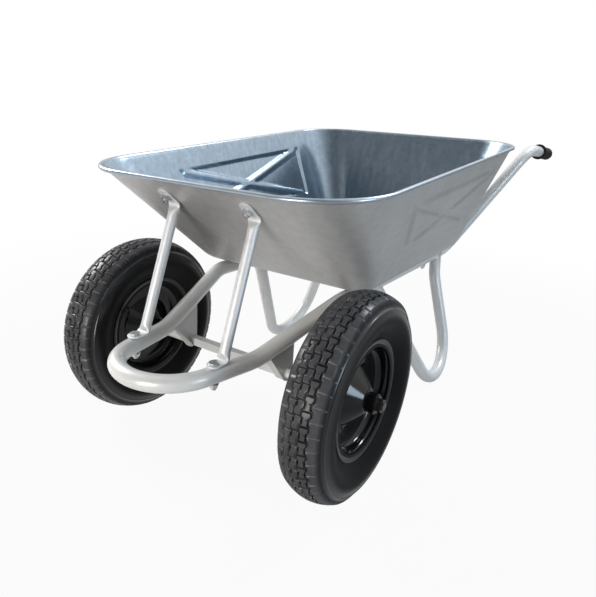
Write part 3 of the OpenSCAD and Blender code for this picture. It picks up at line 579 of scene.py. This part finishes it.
def stations(path):
    """Direction of a path at each point, and two directions across it that turn as little as they can."""
    gaps = np.diff(path, axis=0)
    gaps /= np.linalg.norm(gaps, axis=1)[:, None]
    way = np.concatenate([gaps[:1], gaps[:-1] + gaps[1:], gaps[-1:]])
    way /= np.linalg.norm(way, axis=1)[:, None]
    side = [unit(np.cross(way[0], NOT_ALONG_PATH))]
    for t in way[1:]:
        side.append(unit(side[-1] - t * (side[-1] @ t)))
    side = np.array(side)
    return way, side, np.cross(way, side)


def circle(sides):
    """Points of a circle of radius 1 as two columns."""
    a = np.linspace(0, 2 * np.pi, sides, endpoint=False)
    return np.column_stack([np.cos(a), np.sin(a)])


def swept(path, radius, sides):
    """A circle carried along a path, square to it at each station."""
    _, side, lift = stations(path)
    ring = circle(sides)
    return path[:, None] + radius * (ring[None, :, :1] * side[:, None] + ring[None, :, 1:] * lift[:, None])


def capped(grid):
    """The same tube with both ends closed by a point in the middle of each end."""
    first = np.tile(grid[:1].mean(1, keepdims=True), (1, grid.shape[1], 1))
    last = np.tile(grid[-1:].mean(1, keepdims=True), (1, grid.shape[1], 1))
    return np.concatenate([first, grid, last])


# %% Frame tube
NOSE_SPREAD = math.radians(10.8)
NOSE_BEND = np.array([116, -86, 256.0])
NOSE_APEX = np.array([0, NOSE_BEND[1] - NOSE_BEND[0] / math.tan(NOSE_SPREAD), NOSE_BEND[2]])
RAIL_FRONT = np.array([165, 132, 327.0])
RAIL_REAR = np.array([165, 801, 327.0])
HANDLE_BEND = np.array([329, 950, 634.0])
HANDLE_END = np.array([342, 1180, 618.0])
HALF = [NOSE_BEND, RAIL_FRONT, RAIL_REAR, HANDLE_BEND, HANDLE_END]
HALF_RADII = [128, 110, 60, 78]
NOSE_RADIUS = 96
frame_corners = [mirrored(p) for p in HALF[::-1]] + [NOSE_APEX] + HALF
frame_path = bent_path(frame_corners, HALF_RADII[::-1] + [NOSE_RADIUS] + HALF_RADII)
tube_grid = capped(swept(frame_path, TUBE_R, TUBE_SIDES))
piece("frame_tube", [placed(tube_grid)], "frame", ["main_tube"], PAINT)

# %% [markdown]
# ## Legs and their welds
# A leg is a U of the same tube in a plane that leans outwards. Its ends are cut to the round of the rail, so
# each line along the leg is carried on until it meets the rail's cylinder. A weld runs round each cut, drawn
# as a thin bead whose thickness ripples. A Boolean modifier could cut the ends, but it gives no clean ring of
# points for the weld to follow.

# %% Legs
LEAN = math.radians(16.8)
LEG_FRONT, LEG_REAR, LEG_BEND = 291, 686, 112
KICK_DROP, KICK_BACK, KICK_R = 60, 36, 60
LEG_STEP, LEG_SINK = 4, 0.2
WELD_R, WELD_SIDES = 2.6, 10
RIPPLE, RIPPLE_RATE = 0.12, 2.1
leg_low = (RAIL_REAR[2] - TUBE_R) / math.cos(LEAN)
leg_centre = np.array([LEG_REAR - LEG_BEND, leg_low - LEG_BEND])
leg_reach = leg_centre - [LEG_FRONT, 0]
leg_angle = math.atan2(leg_reach[1], leg_reach[0]) + math.asin(LEG_BEND / np.linalg.norm(leg_reach))


def leg_point(along_rail, down):
    """The place so far along the rail and so far down the leaning plane that runs through it."""
    out, drop = down * math.sin(LEAN), down * math.cos(LEAN)
    return np.array([RAIL_REAR[0] + out, along_rail, RAIL_REAR[2] - drop])


def to_rail(ring, way):
    """Carries each point of a ring along a way onto the rail's cylinder: the larger root of a quadratic."""
    x, z = ring[:, 0] - RAIL_REAR[0], ring[:, 2] - RAIL_REAR[2]
    a = way[0] ** 2 + way[2] ** 2
    b = x * way[0] + z * way[2]
    c = x * x + z * z - (TUBE_R - LEG_SINK) ** 2
    return ring + ((-b + np.sqrt(np.maximum(b * b - a * c, 0))) / a)[:, None] * way


def bead(loop, radius):
    """A closed weld bead along a loop of points, whose radius ripples as the weld was laid."""
    around = np.roll(loop, -1, 0) - np.roll(loop, 1, 0)
    around /= np.linalg.norm(around, axis=1)[:, None]
    middle = loop.mean(0)
    out = loop - middle
    out -= around * (out * around).sum(1)[:, None]
    out /= np.linalg.norm(out, axis=1)[:, None]
    lift = np.cross(around, out)
    ring = circle(WELD_SIDES)
    ripple = radius * (1 + RIPPLE * np.sin(np.arange(len(loop)) * RIPPLE_RATE))[:, None, None]
    grid = loop[:, None] + ripple * (ring[None, :, :1] * out[:, None] + ring[None, :, 1:] * lift[:, None])
    return np.concatenate([grid, grid[:1]])


# %% Leg tubes
leg_corners = [
    leg_point(LEG_FRONT, 0),
    leg_point(LEG_REAR, (LEG_REAR - LEG_FRONT) * math.tan(leg_angle)),
    leg_point(LEG_REAR, KICK_DROP),
    leg_point(LEG_REAR + KICK_BACK, 0),
]
leg_path = bent_path(leg_corners, [LEG_BEND, KICK_R], LEG_STEP)
leg_grid = swept(leg_path, TUBE_R, TUBE_SIDES)
leg_way, _, _ = stations(leg_path)
leg_grid[0] = to_rail(leg_grid[0], leg_way[0])
leg_grid[-1] = to_rail(leg_grid[-1], -leg_way[-1])
welds = [bead(leg_grid[0], WELD_R), bead(leg_grid[-1], WELD_R)]
for side, turn_over in SIDES:
    leg_name = side + "_leg"
    made = [placed(turn_over(capped(leg_grid)))] + [placed(turn_over(w)) for w in welds]
    piece(leg_name + "_tube", made, "frame", [leg_name], PAINT)

# %% [markdown]
# ## Braces
# Each brace is a tube whose two ends were pressed flat and bent. The cross section is a rounded oval whose
# width grows and whose thickness shrinks towards the ends, and the very ends are round in plan. A bevelled
# curve keeps the form of its section, so here the section is worked out at each station.

# %% Braces
BRACE_R, TAB_HALF_W, TAB_HALF_T = 10.0, 14.0, 2.0
BRACE_LOW = np.array([97.5, -183, 274.02])
BRACE_FOOT = np.array([97.5, -160, 274.02])
BRACE_TOP = np.array([95, -77.24, 511.65])
WALL_UP = np.array([0, -0.788178, 0.615447])
WALL_OUT = np.array([0, -0.615447, -0.788178])
TAB_OFF_WALL = 2.02
BRACE_HIGH = np.array([95, -97, 529.64]) + WALL_OUT * TAB_OFF_WALL
PAST_LOW_BOLT, PAST_HIGH_BOLT = 14, 22
BRACE_BENDS, BRACE_STEP, BRACE_STATIONS, BRACE_SIDES = [12, 14], 1.2, 150, 36
LOW_LEAD, LOW_RUN, HIGH_LEAD, HIGH_RUN = 2, 16, 16, 18
brace_corners = [
    BRACE_LOW - [0, PAST_LOW_BOLT, 0],
    BRACE_FOOT,
    BRACE_TOP,
    BRACE_HIGH + WALL_UP * PAST_HIGH_BOLT,
]


def closer_at_ends(path, count):
    """The same path with stations close together near its ends, where its section changes."""
    run = np.concatenate([[0], np.cumsum(np.linalg.norm(np.diff(path, axis=0), axis=1))])
    t = np.linspace(0, np.pi, count)
    at = run[-1] * (1 - np.cos(t)) / 2
    return np.column_stack([np.interp(at, run, path[:, k]) for k in range(3)]), at, run[-1]


# %% Brace tubes
brace_bent = bent_path(brace_corners, BRACE_BENDS, BRACE_STEP)
brace_path, brace_at, brace_len = closer_at_ends(brace_bent, BRACE_STATIONS)
low_bend = np.linalg.norm(brace_corners[1] - brace_corners[0])
high_bend = brace_len - np.linalg.norm(brace_corners[3] - brace_corners[2])
flat = np.maximum(
    1 - soft_step((brace_at - low_bend + LOW_LEAD) / LOW_RUN),
    soft_step((brace_at - high_bend + HIGH_LEAD) / HIGH_RUN),
)
to_end = np.minimum(brace_at, brace_len - brace_at)
round_end = np.sqrt(np.clip(1 - (1 - np.clip(to_end / TAB_HALF_W, 0, 1)) ** 2, 0, 1))
half_w = (BRACE_R + (TAB_HALF_W - BRACE_R) * flat) * round_end
half_t = BRACE_R + (TAB_HALF_T - BRACE_R) * flat
# An oval is a circle whose coordinates are raised to a power: 1 keeps it round, less makes it boxy
power = 2 / (2 + 3 * flat)
brace_way, _, _ = stations(brace_path)
brace_side = np.array([1.0, 0, 0]) - brace_way * brace_way[:, :1]
brace_side /= np.linalg.norm(brace_side, axis=1)[:, None]
brace_lift = np.cross(brace_way, brace_side)
ring = circle(BRACE_SIDES)
oval = np.sign(ring)[None] * np.abs(ring)[None] ** power[:, None, None]
brace_grid = (
    brace_path[:, None]
    + (oval[..., :1] * half_w[:, None, None]) * brace_side[:, None]
    + (oval[..., 1:] * half_t[:, None, None]) * brace_lift[:, None]
)
for side, turn_over in SIDES:
    node_name = side + "_brace"
    piece(node_name + "_tube", [placed(turn_over(capped(brace_grid)))], "frame", [node_name], SATIN)

# %% [markdown]
# ## Grips
# A grip is a rubber sleeve pushed over the end of the handle, with a collar that keeps the thumb off the
# tube. It is a profile turned about the handle, with shallow ridges along its length. The Screw modifier
# turns a profile about an axis of an object. The handle slopes, so here the turn takes its direction.

# %% Turned shapes
NOT_ALONG_AXIS = [0.1, 0.2, 1.0]


def turned_shape(profile, origin, way, steps):
    """A profile of radius and distance along an axis, turned about that axis."""
    way = unit(way)
    side = unit(np.cross(way, NOT_ALONG_AXIS))
    lift = np.cross(way, side)
    a = np.linspace(0, 2 * np.pi, steps, endpoint=False)
    spoke = np.cos(a)[:, None] * side + np.sin(a)[:, None] * lift
    return np.asarray(origin) + profile[:, None, 1:] * way + profile[:, None, :1] * spoke[None]


def rounded(points, radii, steps=5):
    """A profile through corner points, each rounded with its own radius; 0 keeps a corner sharp."""
    points = np.asarray(points, float)
    parts = [points[:1]]
    for i in range(1, len(points) - 1):
        sharp_corner = radii[i] == 0
        parts.append(points[i:i + 1] if sharp_corner
                     else corner_arc(points[i - 1], points[i], points[i + 1], radii[i], steps))
    return np.concatenate(parts + [points[-1:]])


# %% Grip sleeves
GRIP_R, GRIP_COLLAR_R, GRIP_LEN, GRIP_COLLAR, GRIP_END = 19.0, 23.0, 115, 6, 4
RIDGE_PITCH, RIDGE_H, RIDGE_SINK, RIDGE_POINTS = 8.2, 0.5, 0.6, 90
RIDGES_FROM, RIDGES_TO = GRIP_COLLAR + 4, GRIP_LEN - 8
END_FROM, END_ROUND = GRIP_LEN - 6, 5
GRIP_SIDES = 64
grip_way = unit(HANDLE_END - HANDLE_BEND)
body_at = np.linspace(RIDGES_FROM, RIDGES_TO, RIDGE_POINTS)
# A ridge is a sine wave that is clipped flat at its top and its foot
ridge_turn = 2 * np.pi * (body_at - body_at[0]) / RIDGE_PITCH
ridge = RIDGE_H * soft_step(np.sin(ridge_turn) * 0.9 + 0.3)
grip_profile = np.concatenate([
    rounded(
        [[TUBE_R, 0], [GRIP_COLLAR_R, 0], [GRIP_COLLAR_R, GRIP_COLLAR], [GRIP_R, GRIP_COLLAR + 1]],
        [0, 2, 2, 0],
    ),
    np.column_stack([GRIP_R - RIDGE_SINK + ridge, body_at]),
    rounded(
        [[GRIP_R, END_FROM], [GRIP_R, GRIP_LEN + GRIP_END], [0, GRIP_LEN + GRIP_END]],
        [0, END_ROUND, 0],
    ),
])
grip_grid = turned_shape(grip_profile, HANDLE_END - grip_way * GRIP_LEN, grip_way, GRIP_SIDES)
for side, turn_over in SIDES:
    node_name = side + "_grip"
    piece(node_name + "_sleeve", [placed(turn_over(grip_grid))], "frame", [node_name], GRIP)

# %% [markdown]
# ## Tyres
# The tyre is a turned profile with its tread cut into it. Going round it and across it are the two
# parameters, and the tread is a height taken off the crown: grooves that jog from side to side part it into
# five rows, and cross cuts that step from row to row part each row into blocks. The outer rows run down over
# the shoulders, and thin rings are moulded on the walls. Two shares go with the mesh: how far the rubber is
# scuffed, with a painted highlight on the edges of the blocks, and how much of a sheen its shoulders have.
# One block repeated by an Array modifier and bent into a ring is another way. A height on the grid was chosen
# because the tyre stays one closed surface.

# %% Tyre profile
TYRE_R, TYRE_HALF, TREAD_HALF, TREAD_CROWN = 200.0, 47.5, 35.0, 9.0
RIM_EDGE_R, BEAD_R, BEAD_X = 116.5, 101.6, 29.88
SHOULDER_R = TYRE_R - TREAD_CROWN
LOW_R = RIM_EDGE_R + 1
TOE_R = BEAD_R + 0.2
CORE_R = 155
CROWN_POINTS = 58
SWELL = TYRE_HALF - (TREAD_HALF + BEAD_X) / 2


def side_wall(s):
    """Radius and reach of the side wall: straight from bead to shoulder, swollen by a half sine."""
    return np.column_stack([LOW_R + (SHOULDER_R - LOW_R) * s,
                            BEAD_X + (TREAD_HALF - BEAD_X) * s + SWELL * np.sin(np.pi * s)])


side_s = np.concatenate([np.linspace(0, 0.76, 11), [0.775, 0.785, 0.795, 0.805], np.linspace(0.82, 1, 8)])
crown_x = np.linspace(TREAD_HALF, -TREAD_HALF, CROWN_POINTS)[1:-1]
crown = np.column_stack([SHOULDER_R + TREAD_CROWN * (1 - (crown_x / TREAD_HALF) ** 2), crown_x])
wall = side_wall(side_s)
toe = np.array([[TOE_R, BEAD_X]])
outer = np.concatenate([toe, wall, crown, wall[::-1] * [1, -1], toe * [1, -1]])
drop = np.concatenate([[SHOULDER_R], SHOULDER_R - wall[:, 0]])
across = np.concatenate([TREAD_HALF + drop, crown_x, -(TREAD_HALF + drop)[::-1]])
lining_half = np.array([[TOE_R, 22], [150, 41], [181, 28]])
inner = np.concatenate([lining_half * [1, -1], [[188, 0]], lining_half[::-1]])
slope = np.gradient(outer, axis=0)
normal = np.column_stack([-slope[:, 1], slope[:, 0]])
normal /= np.linalg.norm(normal, axis=1)[:, None]
normal *= np.sign((normal * (outer - [CORE_R, 0])).sum(1))[:, None]
print("tyre rows", len(outer) + len(inner))

# %% Tyre tread
BLOCKS, STEPS_PER_BLOCK = 50, 17
PITCH = 2 * np.pi * TYRE_R / BLOCKS
GROOVE_DEPTH = 4.5
ROW_EDGES = (7.2, 21.2)
GROOVE_HALF, CUT_HALF, SIPE_HALF = 1.5, 1.35, 0.6
JOG, JOG_STEEP = 1.5, 4
ROW_SHIFTS = (0.0, 0.38, 0.72)
SHOULDER_REACH, SHOULDER_END = 10, 4
SIPE_SHARE, SHOULDER_SHARE = 0.6, 0.35
EDGE = 1.1


def cut(distance, half_width):
    """1 inside a groove, 0 outside, with a short slope at its edge."""
    return soft_step((half_width - np.abs(distance)) / EDGE + 0.5)


def wave(u):
    """Distance to the nearest whole number, from -1/2 to 1/2."""
    return u - np.round(u)


def tread_depth(u, w):
    """Depth taken off at u blocks round and w millimetres across: that of the deepest cut at the place."""
    side = np.abs(w)
    turn = u + 0.5 * (w < 0)
    jog = JOG * np.clip(JOG_STEEP * np.sin(2 * np.pi * turn), -1, 1)
    first, second = ROW_EDGES[0] + jog, ROW_EDGES[1] - jog
    grooves = np.maximum(cut(side - first, GROOVE_HALF), cut(side - second, GROOVE_HALF))
    middle = cut(wave(u + ROW_SHIFTS[0]) * PITCH, CUT_HALF) * (side < first)
    next_row = (side >= first) * (side < second)
    next_cut = cut(wave(turn + ROW_SHIFTS[1]) * PITCH, CUT_HALF) * next_row
    outer_half = next_row * (side > sum(ROW_EDGES) / 2)
    sipe = SIPE_SHARE * cut(wave(turn + ROW_SHIFTS[1] + 0.5) * PITCH, SIPE_HALF) * outer_half
    end = soft_step((TREAD_HALF + SHOULDER_REACH - side) / SHOULDER_END)
    shoulder = SHOULDER_SHARE * cut(wave(turn + ROW_SHIFTS[2]) * PITCH, CUT_HALF) * (side >= second) * end
    return np.maximum.reduce([grooves * end, middle, next_cut, sipe, shoulder]) * GROOVE_DEPTH


# %% Rings, scuffs and sheen
RING_AT = np.array([176.0, 148.0, 124.0])
RING_W = np.array([1.0, 1.6, 1.8])
RING_H = np.array([1.4, 0.5, 1.0])
RINGS_FROM = TREAD_HALF + 12
SCUFF_FADE = 12
SHEEN_FROM, SHEEN_FADE_IN = TREAD_HALF + 6, 6
SHEEN_TO, SHEEN_FADE_OUT = TREAD_HALF + 34, 14


def wall_rings(radius):
    """Height of thin rings on the side wall: one bell curve of the radius for each ring."""
    return (RING_H * np.exp(-(((radius[:, None] - RING_AT) / RING_W) ** 2))).sum(1)


# %% Tyre surface
round_steps = BLOCKS * STEPS_PER_BLOCK
u = np.arange(round_steps) / STEPS_PER_BLOCK
depth = tread_depth(u[None, :], across[:, None])
height = np.where(np.abs(across) > RINGS_FROM, wall_rings(outer[:, 0]), 0)[:, None] - depth
# The tops of the blocks are scuffed and paler, the grooves the least; the block edges are paler still, a
# painted highlight
sunk = depth / GROOVE_DEPTH
worn = 0.4 + 2.4 * sunk * (1 - sunk) - 0.3 * sunk
# Paler where scuffed, and paler still on block edges, which is a painted highlight
scuff_and_edge_highlight = soft_step((TREAD_HALF + SHOULDER_REACH - np.abs(across)) / SCUFF_FADE)[:, None] * worn
angle = 2 * np.pi * np.arange(round_steps) / round_steps
skin = outer[:, None] + normal[:, None] * height[..., None]
lining = np.repeat(inner[:, None], round_steps, 1)
section = np.concatenate([skin, lining, skin[:1]])
tyre_scuff_and_edge_highlight = np.concatenate([scuff_and_edge_highlight, np.zeros(lining.shape[:2]), scuff_and_edge_highlight[:1]])
sheen_in = soft_step((np.abs(across) - SHEEN_FROM) / SHEEN_FADE_IN)
sheen_out = soft_step((SHEEN_TO - np.abs(across)) / SHEEN_FADE_OUT)
shoulder_band = np.repeat((sheen_in * sheen_out)[:, None], round_steps, 1)
tyre_sheen = np.concatenate([shoulder_band, np.zeros(lining.shape[:2]), shoulder_band[:1]])
tyre_grid = np.stack([
    section[..., 1],
    section[..., 0] * np.cos(angle),
    section[..., 0] * np.sin(angle),
], -1)


def on_wheel(grid):
    """A shape about the wheel's own axis, moved to the left wheel."""
    return grid + np.array([WHEEL_X, 0, AXLE_Z])


TREAD_SHARP = 55
tyre_shares = {"crown": tyre_scuff_and_edge_highlight, "sheen": tyre_sheen}
for side, turn_over in SIDES:
    node_name = side + "_tyre"
    made = [placed(turn_over(on_wheel(tyre_grid)))]
    piece(
        node_name + "_tread", made, side + "_wheel", [node_name], TYRE,
        TREAD_SHARP, tyre_shares,
    )

# %% [markdown]
# ## Wheel discs
# Each wheel is two pressed dishes back to back. The profile of a dish runs from the hub down a cone to a flat
# ring on the middle plane, then in a wide round to the seat of the tyre, and flares out to a thin edge.
# It is drawn as a middle line with round bends, and given its thickness on both sides. Screw and Solidify
# modifiers would do as well, but they would leave the edge of the sheet square.

# %% Wheel discs
RIM_T = 2.0
RIM_HALF_W = 31.9
BARREL_R, EDGE_X = BEAD_R - RIM_T / 2, RIM_HALF_W - RIM_T / 2
HUB_R, HUB_X = 19.2, 33.0
CONE_R, CONE_X = 24, 31.0
RING_R, RING_X = 62, 1.1
LIP_R = RIM_EDGE_R - 0.6
DISH_BENDS = [0, 4, 14, 15, 14, 0]
BEND_POINTS, END_POINTS, DISC_SIDES = 12, 7, 180
dish = [
    [HUB_R, HUB_X],
    [CONE_R, CONE_X],
    [RING_R, RING_X],
    [BARREL_R, RING_X],
    [BARREL_R, EDGE_X],
    [LIP_R, EDGE_X],
]
line = rounded(dish, DISH_BENDS, BEND_POINTS)


def thickened(line, thickness):
    """A closed profile round a middle line, half the thickness to each side, with half round ends."""
    slope = np.gradient(line, axis=0)
    slope /= np.linalg.norm(slope, axis=1)[:, None]
    side = np.column_stack([-slope[:, 1], slope[:, 0]]) * thickness / 2
    a = np.linspace(0, np.pi, END_POINTS)[1:-1, None]
    far = line[-1] + side[-1] * np.cos(a) + slope[-1] * thickness / 2 * np.sin(a)
    near = line[0] - side[0] * np.cos(a) - slope[0] * thickness / 2 * np.sin(a)
    closed = np.concatenate([line + side, far, (line - side)[::-1], near])
    return np.concatenate([closed, closed[:1]])


disc_profile = thickened(line, RIM_T)
disc_grid = turned_shape(disc_profile, [0, 0, 0], [1, 0, 0], DISC_SIDES)
for side, turn_over in SIDES:
    for face, out in (("outer", 1), ("inner", -1)):
        node_name = side + "_rim_" + face
        made = [placed(turn_over(on_wheel(disc_grid * np.array([out, 1, 1]))))]
        piece(node_name + "_disc", made, side + "_wheel", [node_name], GLOSS)

# %% [markdown]
# ## Finishes of the small solids
# The axle, brackets, spacers, washers, nuts and bolts are right as they are, so they aren't drawn again.
# Each gets the finish of the metal or plastic that it is made of, and the axle the paint that leaves its ends
# bare.

# %% Finishes of the solids
FINISH_OF = {
    "frame_paint": PAINT, "zinc": ZINC, "galvanised_sheet": SHEET, "wheel_paint": GLOSS,
    "black_steel": STEEL, "bush_plastic": GLOSS, "tyre_rubber": TYRE, "tube_rubber": TYRE,
    "grip_rubber": GRIP,
}
slot_of = {row["node"]: row["material_slot"] for row in frame["record"]["subparts"]}
for node_name, solid in frame["nodes"].items():
    solid.data.materials.clear()
    solid.data.materials.append(AXLE if node_name == "axle" else FINISH_OF[slot_of[node_name]])
print("solids shown", sum(not o.hide_render for o in frame["nodes"].values()))

# %% [markdown]
# ## The studio
# A pale floor, a white surround and four soft lamps. The surround is white for the camera and much dimmer as
# a light, so that pale paint keeps its shading. Reflections see it bright above and behind the barrow only,
# and see the floor brighter on the side of negative X, so that the bare metal has light and dark to show. An
# image of a studio would light it too, but it would have to be read from a file.

# %% Floor
WHITE = (1, 1, 1, 1)
FLOOR_SIZE = 30
FLOOR_GREY = (0.4, 0.4, 0.4, 1)
NEAR, FAR = 0.8, 2.4
GLOW_NEAR, GLOW_FAR_ADDS = 0.94, 0.06
BRIGHT_BELOW_X, DIM_ABOVE_X = -0.6, 0.45
MIRROR_DIM, MIRROR_BRIGHT_ADDS = 0.2, 0.75
bpy.context.scene.view_settings.view_transform = "Standard"
floor_mesh = bpy.data.meshes.new("floor")
half = FLOOR_SIZE / 2
floor_corners = [(-half, -half, 0), (half, -half, 0), (half, half, 0), (-half, half, 0)]
floor_mesh.from_pydata(floor_corners, [], [(0, 1, 2, 3)])
floor = bpy.data.objects.new("floor", floor_mesh)
bpy.context.scene.collection.objects.link(floor)
floor_paint = bpy.data.materials.new("pale_floor")
floor_paint.use_nodes = True
floor_wire = Wire(floor_paint.node_tree)
seen = floor_wire.node("ShaderNodeLightPath", out="Is Camera Ray")
mirrored_in = floor_wire.node("ShaderNodeLightPath", out="Is Glossy Ray")
matt = floor_wire.node("ShaderNodeBsdfDiffuse", None, {"Color": FLOOR_GREY})
glow = floor_wire.node("ShaderNodeEmission", None, {"Color": WHITE, "Strength": 1})
spot = floor_wire.node("ShaderNodeTexCoord", out="Object")
distance = floor_wire.node("ShaderNodeVectorMath", {"operation": "LENGTH"}, {0: spot}, "Value")
away = distance.between(NEAR, FAR)
spot_x = floor_wire.node("ShaderNodeSeparateXYZ", None, {"Vector": spot}, "X")
bright_side = 1 - spot_x.between(BRIGHT_BELOW_X, DIM_ABOVE_X)
glow_seen = seen * (away * GLOW_FAR_ADDS + GLOW_NEAR)
glow_mirrored = mirrored_in * (bright_side * MIRROR_BRIGHT_ADDS + MIRROR_DIM)
glowing = glow_seen + glow_mirrored
mixed = floor_wire.node("ShaderNodeMixShader", None, {0: glowing, 1: matt, 2: glow})
surface = floor_paint.node_tree.nodes["Material Output"].inputs["Surface"]
floor_paint.node_tree.links.new(mixed.socket, surface)
floor_mesh.materials.append(floor_paint)
print("floor", FLOOR_SIZE, "m wide")

# %% Surround
SKY_LOW, SKY_HIGH = 0.0, 0.35
SKY_FRONT, SKY_REAR = -0.75, 0.15
SKY_TINT, SKY_LIGHT = (0.94, 0.97, 1, 1), 0.18
world = bpy.data.worlds.new("studio")
world.use_nodes = True
bpy.context.scene.world = world
sky = Wire(world.node_tree)
direct = sky.node("ShaderNodeLightPath", out="Is Camera Ray")
glossy = sky.node("ShaderNodeLightPath", out="Is Glossy Ray")
through = sky.node("ShaderNodeLightPath", out="Is Transmission Ray")
towards = sky.node("ShaderNodeTexCoord", out="Generated")
height = sky.node("ShaderNodeSeparateXYZ", None, {"Vector": towards}, "Z").between(SKY_LOW, SKY_HIGH)
behind = sky.node("ShaderNodeSeparateXYZ", None, {"Vector": towards}, "Y").between(SKY_FRONT, SKY_REAR)
shown = direct + glossy * height * behind + through
lit = sky.node("ShaderNodeBackground", None, {"Color": SKY_TINT, "Strength": SKY_LIGHT})
white = sky.node("ShaderNodeBackground", None, {"Color": WHITE, "Strength": 1})
both = sky.node("ShaderNodeMixShader", None, {0: shown, 1: lit, 2: white})
world.node_tree.links.new(both.socket, world.node_tree.nodes["World Output"].inputs["Surface"])
print("surround", len(world.node_tree.nodes), "nodes")


# %% Lamps
def lamp(name, at, aim, size, power, colour=(1, 1, 1)):
    """A square soft lamp at one place that faces another."""
    data = bpy.data.lights.new(name, "AREA")
    data.size = size
    data.energy = power
    data.color = colour
    made = bpy.data.objects.new(name, data)
    bpy.context.scene.collection.objects.link(made)
    made.location = at
    made.rotation_euler = (Vector(aim) - Vector(at)).to_track_quat("-Z", "Y").to_euler()


lamp("key", (-3.2, -0.6, 2.2), (0, -0.1, 0.35), 1.2, 115)
lamp("front", (0.1, -3.4, 0.5), (0, -0.2, 0.3), 1.2, 62, (1, 0.96, 0.9))
lamp("fill", (3.0, -0.5, 0.8), (0, 0, 0.35), 0.8, 24, (0.68, 0.85, 1))
lamp("top", (1.0, 1.6, 2.9), (0, 0, 0.3), 0.8, 62, (0.88, 0.94, 1))
